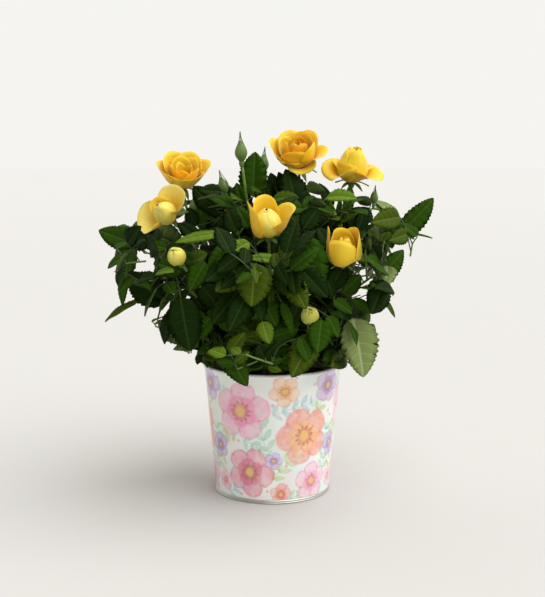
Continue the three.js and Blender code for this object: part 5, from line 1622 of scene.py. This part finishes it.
def paintPrint(material):
    tile = (potFinish["tileWidth"], potFinish["tileHeight"], 1)
    onWall = addNode(material, "UVMap", uv_map="print").outputs["UV"]
    flat = addNode(material, "VectorMath", {0: onWall, 1: tile}, operation="MULTIPLY").outputs[0]
    inSpace = solidPlace(material)
    wander, wanderSize = printDesign["edgeWander"]
    drift = addNoise(material, inSpace, wanderSize, 4)
    centred = addNode(material, "VectorMath", {0: drift.outputs["Color"], 1: (0.5, 0.5, 0.5)}, operation="SUBTRACT")
    moved = addNode(material, "VectorMath", {0: centred.outputs[0], 1: (wander * 4, wander * 4, 0), 2: flat},
                    operation="MULTIPLY_ADD")
    parts = addNode(material, "SeparateXYZ", {0: moved.outputs[0]})
    place = (parts.outputs["X"], parts.outputs["Y"])
    broad, fine = (addNoise(material, inSpace, size, 3) for size in printDesign["pigment"])
    cloud = maths(material, "MULTIPLY_ADD", fine.outputs["Fac"], 0.45, broad.outputs["Fac"])
    pigment = ranged(material, cloud, 0.5, 0.95, 0.5, 1.0)
    colour = linear(potFinish["lacquer"])
    for number, (washColour, washSize, start) in enumerate(printDesign["washes"]):
        shifted = addNode(material, "VectorMath", {0: inSpace, 1: (0.3 * number, 0, 0)}, operation="ADD")
        wash = addNoise(material, shifted.outputs[0], washSize)
        amount = ranged(material, wash.outputs["Fac"], start, start + 0.2, 0, 0.85)
        colour = paintOver(material, colour, linear(washColour), amount)
    apart, berryColour, berryRadius = printDesign["berries"]
    scattered = addNode(material, "TexVoronoi", {"Vector": moved.outputs[0], "Scale": 1 / apart},
                        voronoi_dimensions="2D")
    berry = ranged(material, scattered.outputs["Distance"], berryRadius / apart, berryRadius / apart * 0.7, 0, 0.5)
    colour = paintOver(material, colour, linear(berryColour), berry)
    for sprig in printDesign["sprigs"]:
        colour = paintSprig(material, place, pigment, colour, sprig)
    for blossom in printDesign["blossoms"]:
        colour = paintBlossom(material, place, pigment, colour, blossom)
    linkTo(material, "Base Color", colour)


paintPrint(lacquerMaterial)
lacquered, bare = 0, 1
potProfile = [(radius, height, bare) for radius, height in [  # from the middle of the underside out, up and in again
    (0, 2.2), (44.5, 2.2), (46.2, 1.6), (46.8, 0.5), (47.4, 0.05), (48.2, 0), (48.9, 0.3), (49.25, 0.75),
    (49.2, 1.25), (48.7, 1.5), (48.7, 1.7), (49.2, 1.95), (49.3, 2.5), (49.15, 3.05), (48.7, 3.3),
]]
potProfile += [(48.8, 3.6, lacquered), (48.95, 3.9, lacquered)]
potProfile += [(potRadiusAt(z), z, lacquered) for z in np.linspace(5, 105.5, 34)]
bead = pot["bead"]
beadHeight = pot["height"] - bead
beadCentre = potRadiusAt(beadHeight) - pot["wall"] / 2
potProfile += [(beadCentre + bead * math.cos(turn * degrees), beadHeight + bead * math.sin(turn * degrees), lacquered)
               for turn in range(-62, 215, 21)]
potProfile += [(potRadiusAt(z) - pot["wall"], z, bare) for z in (104, 98, 90, 2.1)]
potProfile += [(0, 2.25, bare)]


def makePot():
    levels = np.array([(radius, height) for radius, height, _ in potProfile])
    finishes = np.array([finish for *_, finish in potProfile])
    sides, (low, high) = potFinish["sides"], potFinish["seamSpan"]
    angles = ringAngles(sides, 0.5)
    fromSeam = np.abs(np.mod(angles - math.pi / 2 + math.pi, 2 * math.pi) - math.pi)
    rows = []
    for (radius, height), finish in zip(levels[1:-1], finishes[1:-1]):
        seamed = low < height < high and finish == lacquered
        seam = potFinish["seamRise"] * (1 - smoothStep(fromSeam * radius, *potFinish["seamEdge"])) if seamed else 0
        rows.append(np.stack([(radius + seam) * np.cos(angles), (radius + seam) * np.sin(angles),
                              np.full(sides, height)], 1))
    points = np.vstack([*rows, [[0, 0, levels[0][1]]], [[0, 0, levels[-1][1]]]])
    walls, ends = ringFaces(len(rows), sides)
    shape = Shape()
    shape.add(points, (walls, np.repeat(finishes[1:-2], sides)), (ends, bare))
    # The print's map: repeats of the tile round the wall, from the seam, and its share of the tile's height.
    for faces in (walls, ends):
        corner = points[faces]
        around = np.mod(np.arctan2(corner[..., 1], corner[..., 0]) / (2 * math.pi) - 0.25, 1)
        around = around - np.round(around - around[:, :1])
        rise = corner[..., 2] / potFinish["tileHeight"]
        shape.places.append(np.stack([around * potFinish["repeats"], rise], -1).reshape(-1, 2))
    makePiece("printed_tin_pot", shape, [lacquerMaterial, tinMaterial], ["pot"], mapName="print")


makePot()

# Studio: a pale floor that runs out of sight, one broad soft sun from the front right, and a pale room
studio = {
    "floor": "#c9c8c5", "farFloor": "#cccbc9", "floorRoughness": 0.85, "fade": (0.5, 5.0),  # metres from the pot
    "tooth": 1.2, "relief": 0.05, "reliefStrength": 0.1,  # mm
    "wall": "#fbfaf6", "wallStrength": 0.95,
    "room": "#f1e6d8", "roomStrength": 0.34,  # the side behind the camera
    "sun": 3.3, "sunWidth": 80, "sunFrom": (-29, 60),  # strength, degrees wide, bearing and height
}
bpy.context.scene.view_settings.view_transform = "Standard"
floorMaterial = newMaterial("matt_paper_floor", studio["floor"], studio["floorRoughness"])
place = solidPlace(floorMaterial)
tooth = addNoise(floorMaterial, place, studio["tooth"])
away = addNode(floorMaterial, "VectorMath", {0: place}, operation="LENGTH")
far = softRanged(floorMaterial, away.outputs["Value"], *studio["fade"])
linkTo(floorMaterial, "Base Color",
       paintOver(floorMaterial, linear(studio["floor"]), linear(studio["farFloor"]), far))
addRelief(floorMaterial, tooth.outputs["Fac"], studio["reliefStrength"], studio["relief"])
floorMesh = bpy.data.meshes.new("paper_floor")
size = 9.0  # metres, half the floor's width
floorMesh.from_pydata([(-size, -size, 0), (size, -size, 0), (size, size, 0), (-size, size, 0)], [], [(0, 1, 2, 3)])
floorMesh.materials.append(floorMaterial)
floor = bpy.data.objects.new("paper_floor", floorMesh)
bpy.context.scene.collection.objects.link(floor)

world = bpy.data.worlds.new("pale_room")
world.use_nodes = True
background = world.node_tree.nodes["Background"]
# A white wall behind the plant, a pale band all round at the height of the eye, and a dimmer room above it in front
direction = addNode(world, "SeparateXYZ", {0: addNode(world, "TexCoord").outputs["Generated"]})
soft = {"interpolation_type": "SMOOTHSTEP", "clamp": False}
toWall = ranged(world, direction.outputs["Y"], -0.2, 0.5, **soft)
band = ranged(world, direction.outputs["Z"], 0.42, 0.08, **soft)
pale = maths(world, "MAXIMUM", toWall, band)
tone = paintOver(world, linear(studio["room"]), linear(studio["wall"]), pale)
strength = ranged(world, pale, 0, 1, studio["roomStrength"], studio["wallStrength"])
world.node_tree.links.new(tone, background.inputs["Color"])
world.node_tree.links.new(strength, background.inputs["Strength"])
bpy.context.scene.world = world

window = bpy.data.lights.new("window_light", "SUN")
window.energy = studio["sun"]
window.angle = studio["sunWidth"] * degrees
windowObject = bpy.data.objects.new("window_light", window)
bearing, height = (part * degrees for part in studio["sunFrom"])
fromWindow = Vector((math.cos(bearing) * math.cos(height), math.sin(bearing) * math.cos(height), math.sin(height)))
windowObject.rotation_euler = fromWindow.to_track_quat("Z", "Y").to_euler()
bpy.context.scene.collection.objects.link(windowObject)
